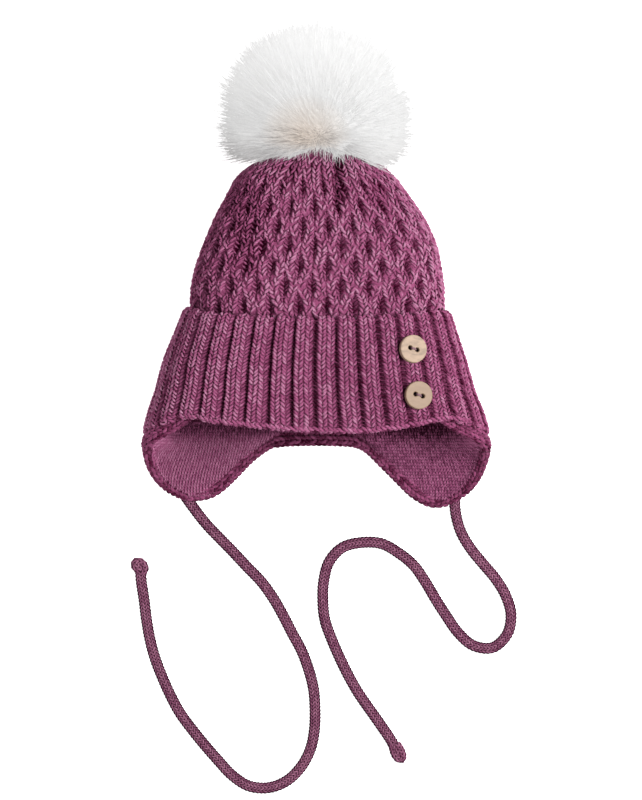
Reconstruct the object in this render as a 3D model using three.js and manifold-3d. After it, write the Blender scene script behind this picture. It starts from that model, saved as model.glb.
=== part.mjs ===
// Knit baby hat with a ribbed turned-up brim, two earflaps with ties, two wooden buttons and a fur pompom.
// Millimetres, +Z up. The hat lies on its back: its front faces up, its crown points to +Y, its opening to -Y.
// Left and right are -X and +X. The angle "around" runs round the hat in degrees, 0 at the middle of the
// front, 90 at +X, 180 at the middle of the back, negative on the -X side.
import * as THREE from 'three';
import { mergeVertices } from 'three/addons/utils/BufferGeometryUtils.js';
import Module from 'manifold-3d';

const wasm = await Module();
wasm.setup();

const gap = 0.3;
const softGap = 0.6;

// Outline of the crown at stations along the hat, with the heights of its top and of its resting side.
const crownRows = [
  { y: 63, halfWidth: 12, middle: 4, top: 50, floor: 26 },
  { y: 60, halfWidth: 22, middle: 2.5, top: 56, floor: 18 },
  { y: 54, halfWidth: 34, middle: 0.5, top: 64, floor: 10 },
  { y: 47, halfWidth: 42.5, middle: 0, top: 69, floor: 5 },
  { y: 38, halfWidth: 48.5, middle: 0.8, top: 73, floor: 2 },
  { y: 26, halfWidth: 55.8, middle: 1.8, top: 76.5, floor: 0 },
  { y: 12, halfWidth: 62, middle: 2.1, top: 79, floor: 0 },
  { y: -2, halfWidth: 66.2, middle: 1.2, top: 80.3, floor: 0 },
  { y: -12, halfWidth: 67.8, middle: 0.9, top: 80.7, floor: 0.6 },
  { y: -18, halfWidth: 68, middle: 0.8, top: 80.5, floor: 2.4 },
];
const crownPole = { x: 4, y: 64.5, innerY: 57.5, z: 38 };

// Outline of the brim's outer face.
const brimRows = [
  { y: -20, halfWidth: 70.4, middle: 0.6, top: 84.4, floor: 0 },
  { y: -26, halfWidth: 72.2, middle: 0.3, top: 85.6, floor: 0 },
  { y: -34, halfWidth: 75, middle: 0, top: 86.6, floor: 0 },
  { y: -51, halfWidth: 81.2, middle: -0.6, top: 88, floor: 0 },
  { y: -68, halfWidth: 86, middle: -0.5, top: 88.6, floor: 0 },
  { y: -80, halfWidth: 90.4, middle: -0.1, top: 88.4, floor: 0 },
  { y: -94, halfWidth: 93.4, middle: 0.2, top: 87.5, floor: 0 },
  { y: -130, halfWidth: 93.8, middle: 0, top: 86, floor: 0 },
];
const section = { waist: 0.47, frontPower: 2.6, backPower: 3.2, sink: 3, samples: 240 };

const crown = {
  wall: 3.5, around: 96, columns: 24, columnShift: -0.29, holeRow: 10.7, firstHoleY: -22.5, holeDepth: 2.3,
  gatherDepth: 1.1, deepest: 2.9, plainFromY: 42, gatheredFromY: 50, pinchFromY: -18, pinchToY: -24, endY: -79.85,
  innerLevels: [53, 38, 12, -18, -24, -45, -79.85],
};
// Folds that the gathered top throws over the front, each running away from the pompom.
const crownFolds = [
  { x: 13, fromY: 64, toY: 30, width: 3.4, depth: 4.2 },
  { x: -14, fromY: 64, toY: 38, width: 3.6, depth: 1.8 },
  { x: 33, fromY: 58, toY: 24, width: 5, depth: 1.4 },
  { x: -38, fromY: 40, toY: -10, width: 9, depth: 1.5 },
];

const cuff = { thickness: 6.4, tuck: 7.7, ribs: 36, samplesPerRib: 3, ribDepth: 2.2, topY: -23.8, topSag: 4.4, scallop: 0.9 };
// Bottom fold of the brim.
const cuffBottom = [
  { around: -180, y: -90 }, { around: -130, y: -91.5 }, { around: -90, y: -91.5 }, { around: -70, y: -87.4 },
  { around: -47, y: -82.4 }, { around: -33, y: -84.7 }, { around: -18, y: -87 }, { around: 0, y: -89.8 },
  { around: 12, y: -90 }, { around: 28, y: -87.2 }, { around: 48, y: -83.6 }, { around: 70, y: -88.2 },
  { around: 90, y: -91.5 }, { around: 130, y: -91.5 }, { around: 180, y: -90 },
];

const flap = { wall: 3.2, topY: -80.15, flareLength: 9, flareTo: 0.5, fromAround: 55 };
const border = { width: 7.2, thickness: 6.2, sides: 8, steps: 19, fromAround: 44, toAround: 174.5 };
const hem = { fromAround: 174.6, steps: 4, panelY: -95 };
// Lower edge of each earflap from the front corner, round its tip, to the back of the hat.
const leftEdge = [
  { around: 40, y: -80 }, { around: 47, y: -82.2 }, { around: 58, y: -88.4 }, { around: 70, y: -94.3 },
  { around: 90, y: -100 }, { around: 106, y: -110.5 }, { around: 118, y: -118 }, { around: 130, y: -123.5 },
  { around: 140, y: -126.4 }, { around: 147, y: -126.4 }, { around: 153, y: -124.6 }, { around: 158, y: -120.4 },
  { around: 163, y: -113.6 }, { around: 168, y: -105.4 }, { around: 171.5, y: -100.4 }, { around: 174.5, y: -97.4 },
  { around: 180, y: -97 },
];
const rightEdge = [
  { around: 40, y: -81.5 }, { around: 48, y: -83.8 }, { around: 56, y: -88.2 }, { around: 68, y: -94 },
  { around: 90, y: -101 }, { around: 102, y: -108 }, { around: 112, y: -115.5 }, { around: 122, y: -122 },
  { around: 133, y: -127 }, { around: 141, y: -130 }, { around: 147, y: -130 }, { around: 152, y: -127.8 },
  { around: 157, y: -123.8 }, { around: 162, y: -117.2 }, { around: 168, y: -107.8 }, { around: 172, y: -100.6 },
  { around: 174.5, y: -98 }, { around: 180, y: -97 },
];

const lining = { wall: 1.8, around: 48, topY: -45, frontY: -83, skirtRows: 3 };

const pompom = {
  root: new THREE.Vector3(1.5, 70, 42), centre: new THREE.Vector3(0.8, 90.5, 46), head: 0.87,
  radii: new THREE.Vector3(55, 42, 48), locks: 35, lockWidth: 12.5, lockSides: 4, lockDroop: 3.5,
  lockParts: [0.5, 0.68, 0.9], lockRagged: 0.05, coveredShare: 0.93, seat: 0.9,
};
// Places where the fur parts into lobes, seen from the front.
const furPartings = [
  { x: 47, y: 98, width: 9, depth: 0.1 },
  { x: -50, y: 84, width: 8, depth: 0.05 },
  { x: 12, y: 132, width: 10, depth: 0.04 },
];

const button = {
  diameter: 15, thickness: 3, bevel: 0.5, holeDiameter: 2.4, holeSpacing: 4.1, holeTilt: -15, segments: 16,
  holeSegments: 8, lift: 0.4,
};
const buttonPlaces = [
  { name: 'upper', x: 52, y: -44.9 },
  { name: 'lower', x: 55, y: -69.6 },
];
const buttonThread = { diameter: 1.1, rise: 0.9 };

const tie = { diameter: 6, sides: 8, steps: 23 };
// Centre lines of the ties on the surface, from inside the flap's edge to the knot.
const leftTieRoute = [
  [-71.5, -122.4], [-65.9, -130.2], [-59.3, -138.7], [-51.8, -146.6], [-44.3, -154.3], [-36.9, -162.2],
  [-29.4, -170], [-23.1, -178.7], [-17.7, -188.1], [-12.8, -197.7], [-7.7, -207.2], [-3.9, -217.4],
  [-1.3, -227.8], [-0.5, -238.6], [-0.8, -249.4], [-2.9, -259.9], [-7.9, -269.5], [-15.5, -277],
  [-25.5, -280.8], [-36.2, -279.8], [-45.2, -274], [-52.6, -266.1], [-59.7, -258], [-66.5, -249.6],
  [-72.9, -240.9], [-78.1, -231.4], [-82.5, -221.6], [-86.4, -211.5], [-89.2, -201.1], [-91.1, -190.4],
  [-92.4, -179.7], [-93.8, -170.5], [-94.3, -164.5],
];
const rightTieRoute = [
  [74.6, -124.4], [75, -132.4], [77.7, -142.7], [83, -152], [89.7, -160.3], [96.6, -168.5],
  [102.1, -177.7], [104.9, -188.1], [102.7, -198.5], [95, -205.5], [84.5, -204.3], [76.4, -197.4],
  [70.2, -188.6], [64.4, -179.6], [58.9, -170.3], [52.8, -161.6], [44.6, -154.7], [35.2, -149.6],
  [24.6, -149], [14.3, -151.7], [7.1, -159.4], [4.2, -169.7], [3.7, -180.4], [4.9, -191], [8.5, -201.1],
  [12.8, -211], [17.5, -220.6], [22.8, -229.9], [28.9, -238.7], [35.1, -247.5], [39.8, -254.4],
  [42.2, -258.6],
];
const knots = { ring: 2.5, tube: 2.45, stub: 3.6 };

function smoothStep(from, to, value) {
  return from < to
    ? THREE.MathUtils.smoothstep(value, from, to)
    : 1 - THREE.MathUtils.smoothstep(value, to, from);
}

// Smooth curve through the rows of a table, for one column against another.
function along(rows, key, column, value) {
  const rising = rows[rows.length - 1][key] > rows[0][key];
  const past = (row) => (rising ? row[key] > value : row[key] < value);
  const found = rows.findIndex(past);
  const last = rows.length - 1;
  const i = found < 0 ? last - 1 : Math.max(found - 1, 0);
  const a = rows[Math.max(i - 1, 0)];
  const b = rows[i];
  const c = rows[i + 1];
  const d = rows[Math.min(i + 2, last)];
  const span = c[key] - b[key];
  const t = THREE.MathUtils.clamp((value - b[key]) / span, 0, 1);
  const slopeB = ((c[column] - a[column]) / (c[key] - a[key])) * span;
  const slopeC = ((d[column] - b[column]) / (d[key] - b[key])) * span;
  const t2 = t * t;
  const t3 = t2 * t;
  return (2 * t3 - 3 * t2 + 1) * b[column] + (t3 - 2 * t2 + t) * slopeB
    + (3 * t2 - 2 * t3) * c[column] + (t3 - t2) * slopeC;
}

function rowAt(rows, y) {
  const row = { y };
  for (const column of ['halfWidth', 'middle', 'top', 'floor']) {
    row[column] = along(rows, 'y', column, y);
  }
  row.floor = Math.max(row.floor, 0);
  return row;
}

function moved(row, offset) {
  return {
    y: row.y, middle: row.middle, halfWidth: row.halfWidth + offset, top: row.top + offset, floor: row.floor - offset,
  };
}

function cuffBottomY(around) {
  return along(cuffBottom, 'around', 'y', around);
}

// The knit that carries everything: the crown, then its plain band under the brim, then the flared earflaps.
function bodyRow(y, around) {
  const underBrim = moved(rowAt(brimRows, y), -cuff.tuck);
  if (y < flap.topY) {
    const flare = smoothStep(0, flap.flareLength, cuffBottomY(around) - y);
    return moved(underBrim, flare * (cuff.tuck - flap.flareTo));
  }
  const blend = smoothStep(crown.pinchFromY, crown.pinchToY, y);
  if (blend === 1) {
    return underBrim;
  }
  const open = rowAt(crownRows, Math.max(y, crown.pinchFromY));
  const row = { y };
  for (const column of ['halfWidth', 'middle', 'top', 'floor']) {
    row[column] = THREE.MathUtils.lerp(open[column], underBrim[column], blend);
  }
  return row;
}

// Point of one cross-section: rounder over the front, flatter behind, and flat where it rests.
function sectionPoint(row, around, offset) {
  const angle = THREE.MathUtils.degToRad(around);
  const across = Math.sin(angle);
  const up = Math.cos(angle);
  const power = 2 / (up >= 0 ? section.frontPower : section.backPower);
  const waist = row.floor + (row.top - row.floor) * section.waist;
  const x = row.middle + (row.halfWidth + offset) * Math.sign(across) * Math.abs(across) ** power;
  const reach = up >= 0 ? row.top - waist : waist - row.floor + section.sink;
  const z = waist + (reach + offset) * Math.sign(up) * Math.abs(up) ** power;
  return new THREE.Vector3(x, row.y, Math.max(z, row.floor - offset));
}

// Turns an even share of the girth into the angle around, so that ribs and columns keep one width.
function evenAngles(row, count) {
  const lengths = [0];
  let before = sectionPoint(row, -180, 0);
  for (let i = 1; i <= section.samples; i += 1) {
    const point = sectionPoint(row, -180 + (360 * i) / section.samples, 0);
    lengths.push(lengths[i - 1] + point.distanceTo(before));
    before = point;
  }
  const half = lengths[section.samples / 2];
  const angles = [];
  let at = 0;
  for (let k = 0; k < count; k += 1) {
    const share = k / count;
    const wanted = share < 0.5
      ? share * 2 * half
      : half + (share - 0.5) * 2 * (lengths[section.samples] - half);
    while (lengths[at + 1] < wanted) {
      at += 1;
    }
    const part = (wanted - lengths[at]) / (lengths[at + 1] - lengths[at]);
    angles.push(-180 + (360 * (at + part)) / section.samples);
  }
  return angles;
}

// Closed solid through rings of points. Neighbour rings have equal counts, or one has twice the other's,
// or one is a single point. A looped list joins its last ring to its first. Quads split along their shorter
// diagonal where dimples ask for it.
function solidFromRings(rings, looped = false, dimpled = false) {
  const positions = [];
  const starts = [];
  for (const ring of rings) {
    starts.push(positions.length / 3);
    for (const point of ring) {
      positions.push(point.x, point.y, point.z);
    }
  }
  const index = [];
  const bands = looped ? rings.length : rings.length - 1;
  for (let r = 0; r < bands; r += 1) {
    const next = (r + 1) % rings.length;
    const nA = rings[r].length;
    const nB = rings[next].length;
    const a = (i) => starts[r] + (i % nA);
    const b = (i) => starts[next] + (i % nB);
    if (nA === 1 || nB === 1) {
      for (let i = 0; i < Math.max(nA, nB); i += 1) {
        index.push(...(nA === 1 ? [a(0), b(i + 1), b(i)] : [a(i), a(i + 1), b(0)]));
      }
    } else if (nA === nB) {
      for (let i = 0; i < nA; i += 1) {
        const one = rings[r][i].distanceTo(rings[next][(i + 1) % nB]);
        const other = rings[r][(i + 1) % nA].distanceTo(rings[next][i]);
        if (dimpled && other < one) {
          index.push(a(i), a(i + 1), b(i), a(i + 1), b(i + 1), b(i));
        } else {
          index.push(a(i), a(i + 1), b(i + 1), a(i), b(i + 1), b(i));
        }
      }
    } else if (nA === 2 * nB) {
      for (let i = 0; i < nB; i += 1) {
        index.push(a(2 * i), a(2 * i + 1), b(i));
        index.push(a(2 * i + 1), b(i + 1), b(i));
        index.push(a(2 * i + 1), a(2 * i + 2), b(i + 1));
      }
    } else {
      for (let i = 0; i < nA; i += 1) {
        index.push(a(i), b(2 * i + 1), b(2 * i));
        index.push(a(i), a(i + 1), b(2 * i + 1));
        index.push(a(i + 1), b(2 * i + 2), b(2 * i + 1));
      }
    }
  }
  const geometry = new THREE.BufferGeometry();
  geometry.setAttribute('position', new THREE.Float32BufferAttribute(positions, 3));
  geometry.setIndex(index);
  return facingOut(geometry);
}

function facingOut(geometry) {
  const position = geometry.attributes.position;
  const index = geometry.index.array;
  const corners = [new THREE.Vector3(), new THREE.Vector3(), new THREE.Vector3()];
  let volume = 0;
  for (let i = 0; i < index.length; i += 3) {
    corners.forEach((corner, k) => corner.fromBufferAttribute(position, index[i + k]));
    volume += corners[0].dot(corners[1].clone().cross(corners[2]));
  }
  if (volume < 0) {
    for (let i = 0; i < index.length; i += 3) {
      [index[i], index[i + 1]] = [index[i + 1], index[i]];
    }
  }
  geometry.computeVertexNormals();
  return geometry;
}

function toManifold(geometry) {
  const bare = geometry.clone();
  bare.deleteAttribute('normal');
  bare.deleteAttribute('uv');
  const merged = mergeVertices(bare, 1e-4);
  return new wasm.Manifold(new wasm.Mesh({
    numProp: 3,
    vertProperties: new Float32Array(merged.attributes.position.array),
    triVerts: new Uint32Array(merged.index.array),
  }));
}

function toGeometry(solid) {
  const mesh = solid.getMesh();
  const geometry = new THREE.BufferGeometry();
  geometry.setAttribute('position', new THREE.Float32BufferAttribute(mesh.vertProperties, 3));
  geometry.setIndex(new THREE.Uint32BufferAttribute(mesh.triVerts, 1));
  geometry.computeVertexNormals();
  return geometry;
}

function largestPiece(solid) {
  return solid.decompose().reduce((best, piece) => (piece.volume() > best.volume() ? piece : best));
}

// Depth of the crown's honeycomb, its gathers under the pompom and its folds.
function crownRelief(share, point, facesFront) {
  const open = smoothStep(crown.pinchToY, crown.pinchFromY + 1, point.y);
  const plain = smoothStep(crown.plainFromY, crown.gatheredFromY, point.y);
  const column = 2 * Math.PI * (share * crown.columns + crown.columnShift);
  const row = Math.PI * ((point.y - crown.firstHoleY) / crown.holeRow);
  const hole = Math.max(0, Math.cos(column) * Math.cos(row)) * crown.holeDepth * open * (1 - plain);
  const gather = (0.5 - 0.5 * Math.cos(column)) * crown.gatherDepth * plain;
  let fold = 0;
  if (facesFront) {
    for (const each of crownFolds) {
      const across = Math.exp(-(((point.x - each.x) / each.width) ** 2));
      const length = smoothStep(each.toY, each.toY + 12, point.y) * smoothStep(each.fromY + 6, each.fromY - 2, point.y);
      fold += each.depth * across * length;
    }
  }
  return -Math.min(hole + gather + fold, crown.deepest);
}

function crownRing(y, offset, count, textured) {
  const row = bodyRow(y, 0);
  return evenAngles(row, count).map((around, i) => {
    const plain = sectionPoint(row, around, offset);
    if (!textured) {
      return plain;
    }
    const share = i / count - 0.5;
    const pressedFlat = smoothStep(0.5, 6, plain.z);
    const relief = crownRelief(share, plain, Math.abs(around) < 90) * pressedFlat;
    return sectionPoint(row, around, offset + relief);
  });
}

// Rings of the crown's outer face from the brim upwards: fine over the honeycomb, coarse elsewhere.
function crownOuterRings() {
  const coarse = crown.around / 2;
  const rings = [crown.endY, crown.pinchToY].map((y) => crownRing(y, 0, coarse, false));
  rings.push(crownRing(crown.pinchFromY - 1, 0, crown.around, true));
  for (let y = crown.firstHoleY + crown.holeRow; y < crown.gatheredFromY; y += crown.holeRow) {
    rings.push(crownRing(y, 0, crown.around, true));
  }
  for (const y of [48, 54, 59.5, 63]) {
    rings.push(crownRing(y, 0, coarse, true));
  }
  return rings;
}

function crownGeometry() {
  const inner = crown.innerLevels.map((y) => crownRing(y, -crown.wall, crown.around / 2, false));
  const pole = [new THREE.Vector3(crownPole.x, crownPole.y, crownPole.z)];
  const innerPole = [new THREE.Vector3(crownPole.x, crownPole.innerY, crownPole.z)];
  return solidFromRings([innerPole, ...inner, ...crownOuterRings(), pole], false, true);
}

// Plain solid a little larger than the crown, to seat the pompom round it.
function crownSeat() {
  const rings = [20, 36, 47, 55, 60.5, 63].map((y) => crownRing(y, pompom.seat, crown.around / 3, false));
  const pole = [new THREE.Vector3(crownPole.x, crownPole.y + pompom.seat, crownPole.z)];
  return toManifold(solidFromRings([middleOf(rings[0]), ...rings, pole]));
}

// Lower edge of the lining: inside the brim in front, at the middle of the border round the flaps.
function liningEdgeY(around) {
  const side = Math.abs(around);
  const rows = around < 0 ? leftEdge : rightEdge;
  if (side < border.fromAround) {
    return lining.frontY;
  }
  return Math.min(insetEdgeY(rows, side, border.width / 2), lining.frontY);
}

// Edge of a flap moved inwards over the knit by a distance, as a y for each angle.
function insetEdgeY(rows, side, distance) {
  const step = 1;
  const y = along(rows, 'around', 'y', side);
  const ahead = along(rows, 'around', 'y', Math.min(side + step, 180));
  const behind = along(rows, 'around', 'y', side - step);
  const row = rowAt(brimRows, y);
  const run = sectionPoint(row, Math.min(side + step, 180), 0).distanceTo(sectionPoint(row, side - step, 0));
  const slope = (ahead - behind) / run;
  return y + distance * Math.sqrt(1 + slope * slope);
}

// Angles that the lining and the earflaps share.
function skirtAngles() {
  return evenAngles(bodyRow(crown.endY, 0), lining.around);
}

function liningGeometry() {
  const face = (offset) => {
    const levels = [() => lining.topY, () => crown.endY];
    for (let k = 1; k <= lining.skirtRows; k += 1) {
      levels.push((around) => THREE.MathUtils.lerp(crown.endY, liningEdgeY(around), k / lining.skirtRows));
    }
    return levels.map((level) => skirtAngles().map((around) => (
      sectionPoint(bodyRow(level(around), around), around, offset)
    )));
  };
  const outer = face(-crown.wall - softGap);
  const inner = face(-crown.wall - softGap - lining.wall);
  return solidFromRings([...inner, ...outer.reverse()], true);
}

// Ring of the brim's turned-up cuff: over its top edge, down its ribs, round its bottom fold, up inside.
function cuffGeometry(ribDepth = cuff.ribDepth, grow = 0) {
  const count = cuff.ribs * cuff.samplesPerRib;
  const deep = cuff.thickness;
  const profile = [
    { part: 0.03, offset: -deep - grow, rib: 0, reach: 0 },
    { part: 0, offset: -deep * 0.5, rib: 0, reach: -grow },
    { part: 0.05, offset: grow, rib: 1, reach: 0 },
    { part: 0.5, offset: grow, rib: 1, reach: 0 },
    { part: 0.95, offset: grow, rib: 1, reach: 0 },
    { part: 1, offset: -deep * 0.5, rib: 0.5, reach: grow },
    { part: 0.96, offset: -deep - grow, rib: 0, reach: 0 },
  ];
  const rings = profile.map((step) => {
    const y0 = THREE.MathUtils.lerp(cuff.topY, -90, step.part);
    return evenAngles(rowAt(brimRows, y0), count).map((around, i) => {
      const upperY = cuff.topY - cuff.topSag * Math.max(0, Math.cos(THREE.MathUtils.degToRad(around))) ** 2;
      const valley = i % cuff.samplesPerRib === 0 ? 1 : 0;
      const lift = ribDepth > 0 ? valley * cuff.scallop * smoothStep(0.9, 1, step.part) : 0;
      const y = THREE.MathUtils.lerp(upperY, cuffBottomY(around), step.part) + lift - step.reach;
      return sectionPoint(rowAt(brimRows, y), around, step.offset - valley * ribDepth * step.rib);
    });
  });
  return solidFromRings(rings, true);
}

function middleOf(ring) {
  return [ring.reduce((sum, point) => sum.add(point), new THREE.Vector3()).divideScalar(ring.length)];
}

// Rounded band swept along the lower edge. Its section lies across the knit and through its thickness.
function bandGeometry(side, fromAround, toAround, steps, grow = 0) {
  const rows = side < 0 ? leftEdge : rightEdge;
  const middle = -border.thickness / 2;
  const point = (around, offset) => {
    const y = along(rows, 'around', 'y', Math.min(around, 360 - around));
    return sectionPoint(rowAt(brimRows, y), side * around, offset);
  };
  const rings = [];
  for (let i = 0; i <= steps; i += 1) {
    const around = THREE.MathUtils.lerp(fromAround, toAround, i / steps);
    const at = point(around, middle);
    const tangent = point(around + 0.5, middle).sub(point(around - 0.5, middle)).normalize();
    const out = point(around, 0).sub(at).normalize();
    const inward = out.clone().cross(tangent).normalize();
    if (inward.y < 0 || (inward.y < 0.2 && inward.x * side > 0)) {
      inward.negate();
    }
    out.crossVectors(tangent, inward).normalize();
    const centre = at.addScaledVector(inward, border.width / 2);
    rings.push(Array.from({ length: border.sides }, (_, k) => {
      const turn = (2 * Math.PI * (k + 0.5)) / border.sides;
      const ring = centre.clone();
      ring.addScaledVector(inward, Math.cos(turn) * (border.width / 2 + grow));
      ring.addScaledVector(out, Math.sin(turn) * (border.thickness / 2 + grow));
      ring.z = Math.max(ring.z, -grow);
      return ring;
    }));
  }
  return solidFromRings([middleOf(rings[0]), ...rings, middleOf(rings[rings.length - 1])]);
}

// Sheet of knit between two angles, from one y down to another, as thick as a flap.
function panelGeometry(side, angles, fromY, toY, rows) {
  const rings = angles.map((around) => {
    const upper = [];
    const under = [];
    for (let r = 0; r <= rows; r += 1) {
      const y = THREE.MathUtils.lerp(fromY, toY(around), r / rows);
      const row = bodyRow(y, side * Math.min(around, 360 - around));
      upper.push(sectionPoint(row, side * around, 0));
      under.push(sectionPoint(row, side * around, -flap.wall));
    }
    return [...upper, ...under.reverse()];
  });
  return solidFromRings([middleOf(rings[0]), ...rings, middleOf(rings[rings.length - 1])]);
}

function earflap(side) {
  const toAround = border.toAround - 0.5;
  const shared = skirtAngles().map((around) => around * side).filter((a) => a > flap.fromAround + 1 && a < toAround - 1);
  const angles = [flap.fromAround, ...shared.sort((a, b) => a - b), toAround];
  if (side < 0) {
    angles.reverse();
  }
  const lower = (around) => liningEdgeY(side * around);
  const panel = toManifold(panelGeometry(side, angles, flap.topY, lower, lining.skirtRows));
  const band = toManifold(bandGeometry(side, border.fromAround, border.toAround, border.steps, gap));
  const seat = toManifold(cuffGeometry(0, gap));
  return largestPiece(panel.subtract(band).subtract(seat).subtract(hemSeat()));
}

function flapBorder(side) {
  const band = toManifold(bandGeometry(side, border.fromAround, border.toAround, border.steps));
  const seat = toManifold(cuffGeometry(0, gap));
  return largestPiece(band.subtract(seat));
}

function hemSeat() {
  return toManifold(bandGeometry(1, hem.fromAround, 360 - hem.fromAround, hem.steps, gap));
}

function backHem() {
  const from = hem.fromAround;
  const to = 360 - hem.fromAround;
  const band = toManifold(bandGeometry(1, from, to, hem.steps));
  const angles = Array.from({ length: hem.steps + 1 }, (_, i) => THREE.MathUtils.lerp(from, to, i / hem.steps));
  const panel = toManifold(panelGeometry(1, angles, flap.topY, () => hem.panelY, 2));
  const seat = toManifold(cuffGeometry(0, gap));
  return largestPiece(band.add(panel).subtract(seat));
}

function liningSolid() {
  let solid = toManifold(liningGeometry());
  for (const side of [-1, 1]) {
    solid = solid.subtract(toManifold(bandGeometry(side, border.fromAround, border.toAround, border.steps, gap)));
    solid = solid.subtract(toManifold(bandGeometry(side, border.toAround - 0.5, hem.fromAround + 0.5, 1, gap)));
  }
  return largestPiece(solid.subtract(hemSeat()));
}

// How much of its full length a lock keeps where the fur parts into lobes.
function lobeShare(tip) {
  let part = 0;
  for (const dent of furPartings) {
    const across = ((tip.x - dent.x) / dent.width) ** 2 + ((tip.y - dent.y) / dent.width) ** 2;
    part += dent.depth * Math.exp(-across);
  }
  return 1 - part;
}

// One pointed lock of fur from the root to a place on the ball, bent a little to one side.
function furLock(place, number) {
  const ragged = 1 - pompom.lockRagged * (0.5 + 0.5 * Math.sin(number * 2.4));
  const reach = place.distanceTo(pompom.root) * ragged * lobeShare(place);
  const direction = place.clone().sub(pompom.root).normalize();
  const sideways = new THREE.Vector3().crossVectors(direction, new THREE.Vector3(0.3, 0.2, 1)).normalize();
  const over = new THREE.Vector3().crossVectors(direction, sideways).normalize();
  const centreAt = (part) => {
    const centre = pompom.root.clone().addScaledVector(direction, reach * part);
    return centre.addScaledVector(sideways, Math.sin(number) * pompom.lockDroop * part * part);
  };
  const ring = (part, width) => Array.from({ length: pompom.lockSides }, (_, k) => {
    const turn = (2 * Math.PI * k) / pompom.lockSides;
    const at = centreAt(part).addScaledVector(sideways, Math.cos(turn) * width);
    return at.addScaledVector(over, Math.sin(turn) * width);
  });
  const [low, wide, high] = pompom.lockParts;
  const rings = [[centreAt(low)], ring(wide, pompom.lockWidth), ring(high, pompom.lockWidth * 0.7), [centreAt(1)]];
  return toManifold(solidFromRings(rings));
}

function furBall() {
  const head = new THREE.SphereGeometry(1, 16, 10);
  head.scale(pompom.radii.x * pompom.head, pompom.radii.y * pompom.head, pompom.radii.z * pompom.head);
  head.translate(pompom.centre.x, pompom.centre.y, pompom.centre.z);
  let solid = toManifold(head);
  const golden = Math.PI * (3 - Math.sqrt(5));
  for (let k = 0; k < pompom.locks; k += 1) {
    const y = 1 - (pompom.coveredShare * 2 * (k + 0.5)) / pompom.locks;
    const round = Math.sqrt(1 - y * y);
    const place = new THREE.Vector3(Math.cos(golden * k) * round, y, Math.sin(golden * k) * round);
    solid = solid.add(furLock(place.multiply(pompom.radii).add(pompom.centre), k));
  }
  const floor = new THREE.BoxGeometry(300, 300, 40);
  floor.translate(0, 90, -20);
  return largestPiece(solid.subtract(crownSeat()).subtract(toManifold(floor)));
}

// Place on the brim's front under a plan position, with the way the surface faces there.
function brimPlace(x, y) {
  const row = rowAt(brimRows, y);
  let low = 0;
  let high = 89;
  while (high - low > 0.01) {
    const middle = (low + high) / 2;
    if (sectionPoint(row, middle, 0).x < x) {
      low = middle;
    } else {
      high = middle;
    }
  }
  const at = sectionPoint(row, low, 0);
  const across = sectionPoint(row, low + 2, 0).sub(sectionPoint(row, low - 2, 0));
  const down = sectionPoint(rowAt(brimRows, y - 2), low, 0).sub(sectionPoint(rowAt(brimRows, y + 2), low, 0));
  return { at, out: down.cross(across).normalize() };
}

function circlePoints(x, radius, count) {
  return Array.from({ length: count }, (_, k) => {
    const turn = (2 * Math.PI * k) / count;
    return new THREE.Vector2(x + radius * Math.cos(turn), radius * Math.sin(turn));
  });
}

function buttonGeometry() {
  const outline = new THREE.Shape(circlePoints(0, button.diameter / 2 - button.bevel, button.segments));
  for (const side of [-1, 1]) {
    const radius = button.holeDiameter / 2 + button.bevel;
    outline.holes.push(new THREE.Path(circlePoints((side * button.holeSpacing) / 2, radius, button.holeSegments)));
  }
  const geometry = new THREE.ExtrudeGeometry(outline, {
    depth: button.thickness - 2 * button.bevel, bevelEnabled: true, bevelThickness: button.bevel,
    bevelSize: button.bevel, bevelSegments: 1,
  });
  geometry.translate(0, 0, button.bevel);
  return geometry;
}

function threadGeometry() {
  const side = button.holeSpacing / 2;
  const over = button.thickness + buttonThread.rise;
  const path = new THREE.CatmullRomCurve3([
    new THREE.Vector3(-side, 0, 0.2), new THREE.Vector3(-side, 0, button.thickness - 0.5),
    new THREE.Vector3(-side * 0.6, 0, over), new THREE.Vector3(side * 0.6, 0, over),
    new THREE.Vector3(side, 0, button.thickness - 0.5), new THREE.Vector3(side, 0, 0.2),
  ]);
  const strand = new THREE.Shape();
  strand.absarc(0, 0, buttonThread.diameter / 2, 0, 2 * Math.PI, false);
  return new THREE.ExtrudeGeometry(strand, { steps: 6, curveSegments: 3, bevelEnabled: false, extrudePath: path });
}

// Loose overhand knot: a turn of the cord round itself, with the cut end standing out of it.
function knotSolid(at, heading) {
  const turn = new THREE.TorusGeometry(knots.ring, knots.tube, 6, 9);
  turn.rotateY(Math.PI / 2);
  const bulge = new THREE.SphereGeometry(knots.ring + knots.tube * 0.8, 8, 5);
  bulge.scale(0.9, 0.82, 0.78);
  const stub = new THREE.CylinderGeometry(2.4, 2.9, knots.stub, 7);
  stub.rotateZ(-Math.PI / 2);
  stub.translate(knots.ring + knots.stub / 2, 0.6, -0.6);
  const pieces = [turn, bulge, stub].map((geometry) => {
    geometry.rotateZ(heading);
    geometry.translate(at.x, at.y, at.z);
    return toManifold(geometry);
  });
  return pieces[0].add(pieces[1]).add(pieces[2]);
}

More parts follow.
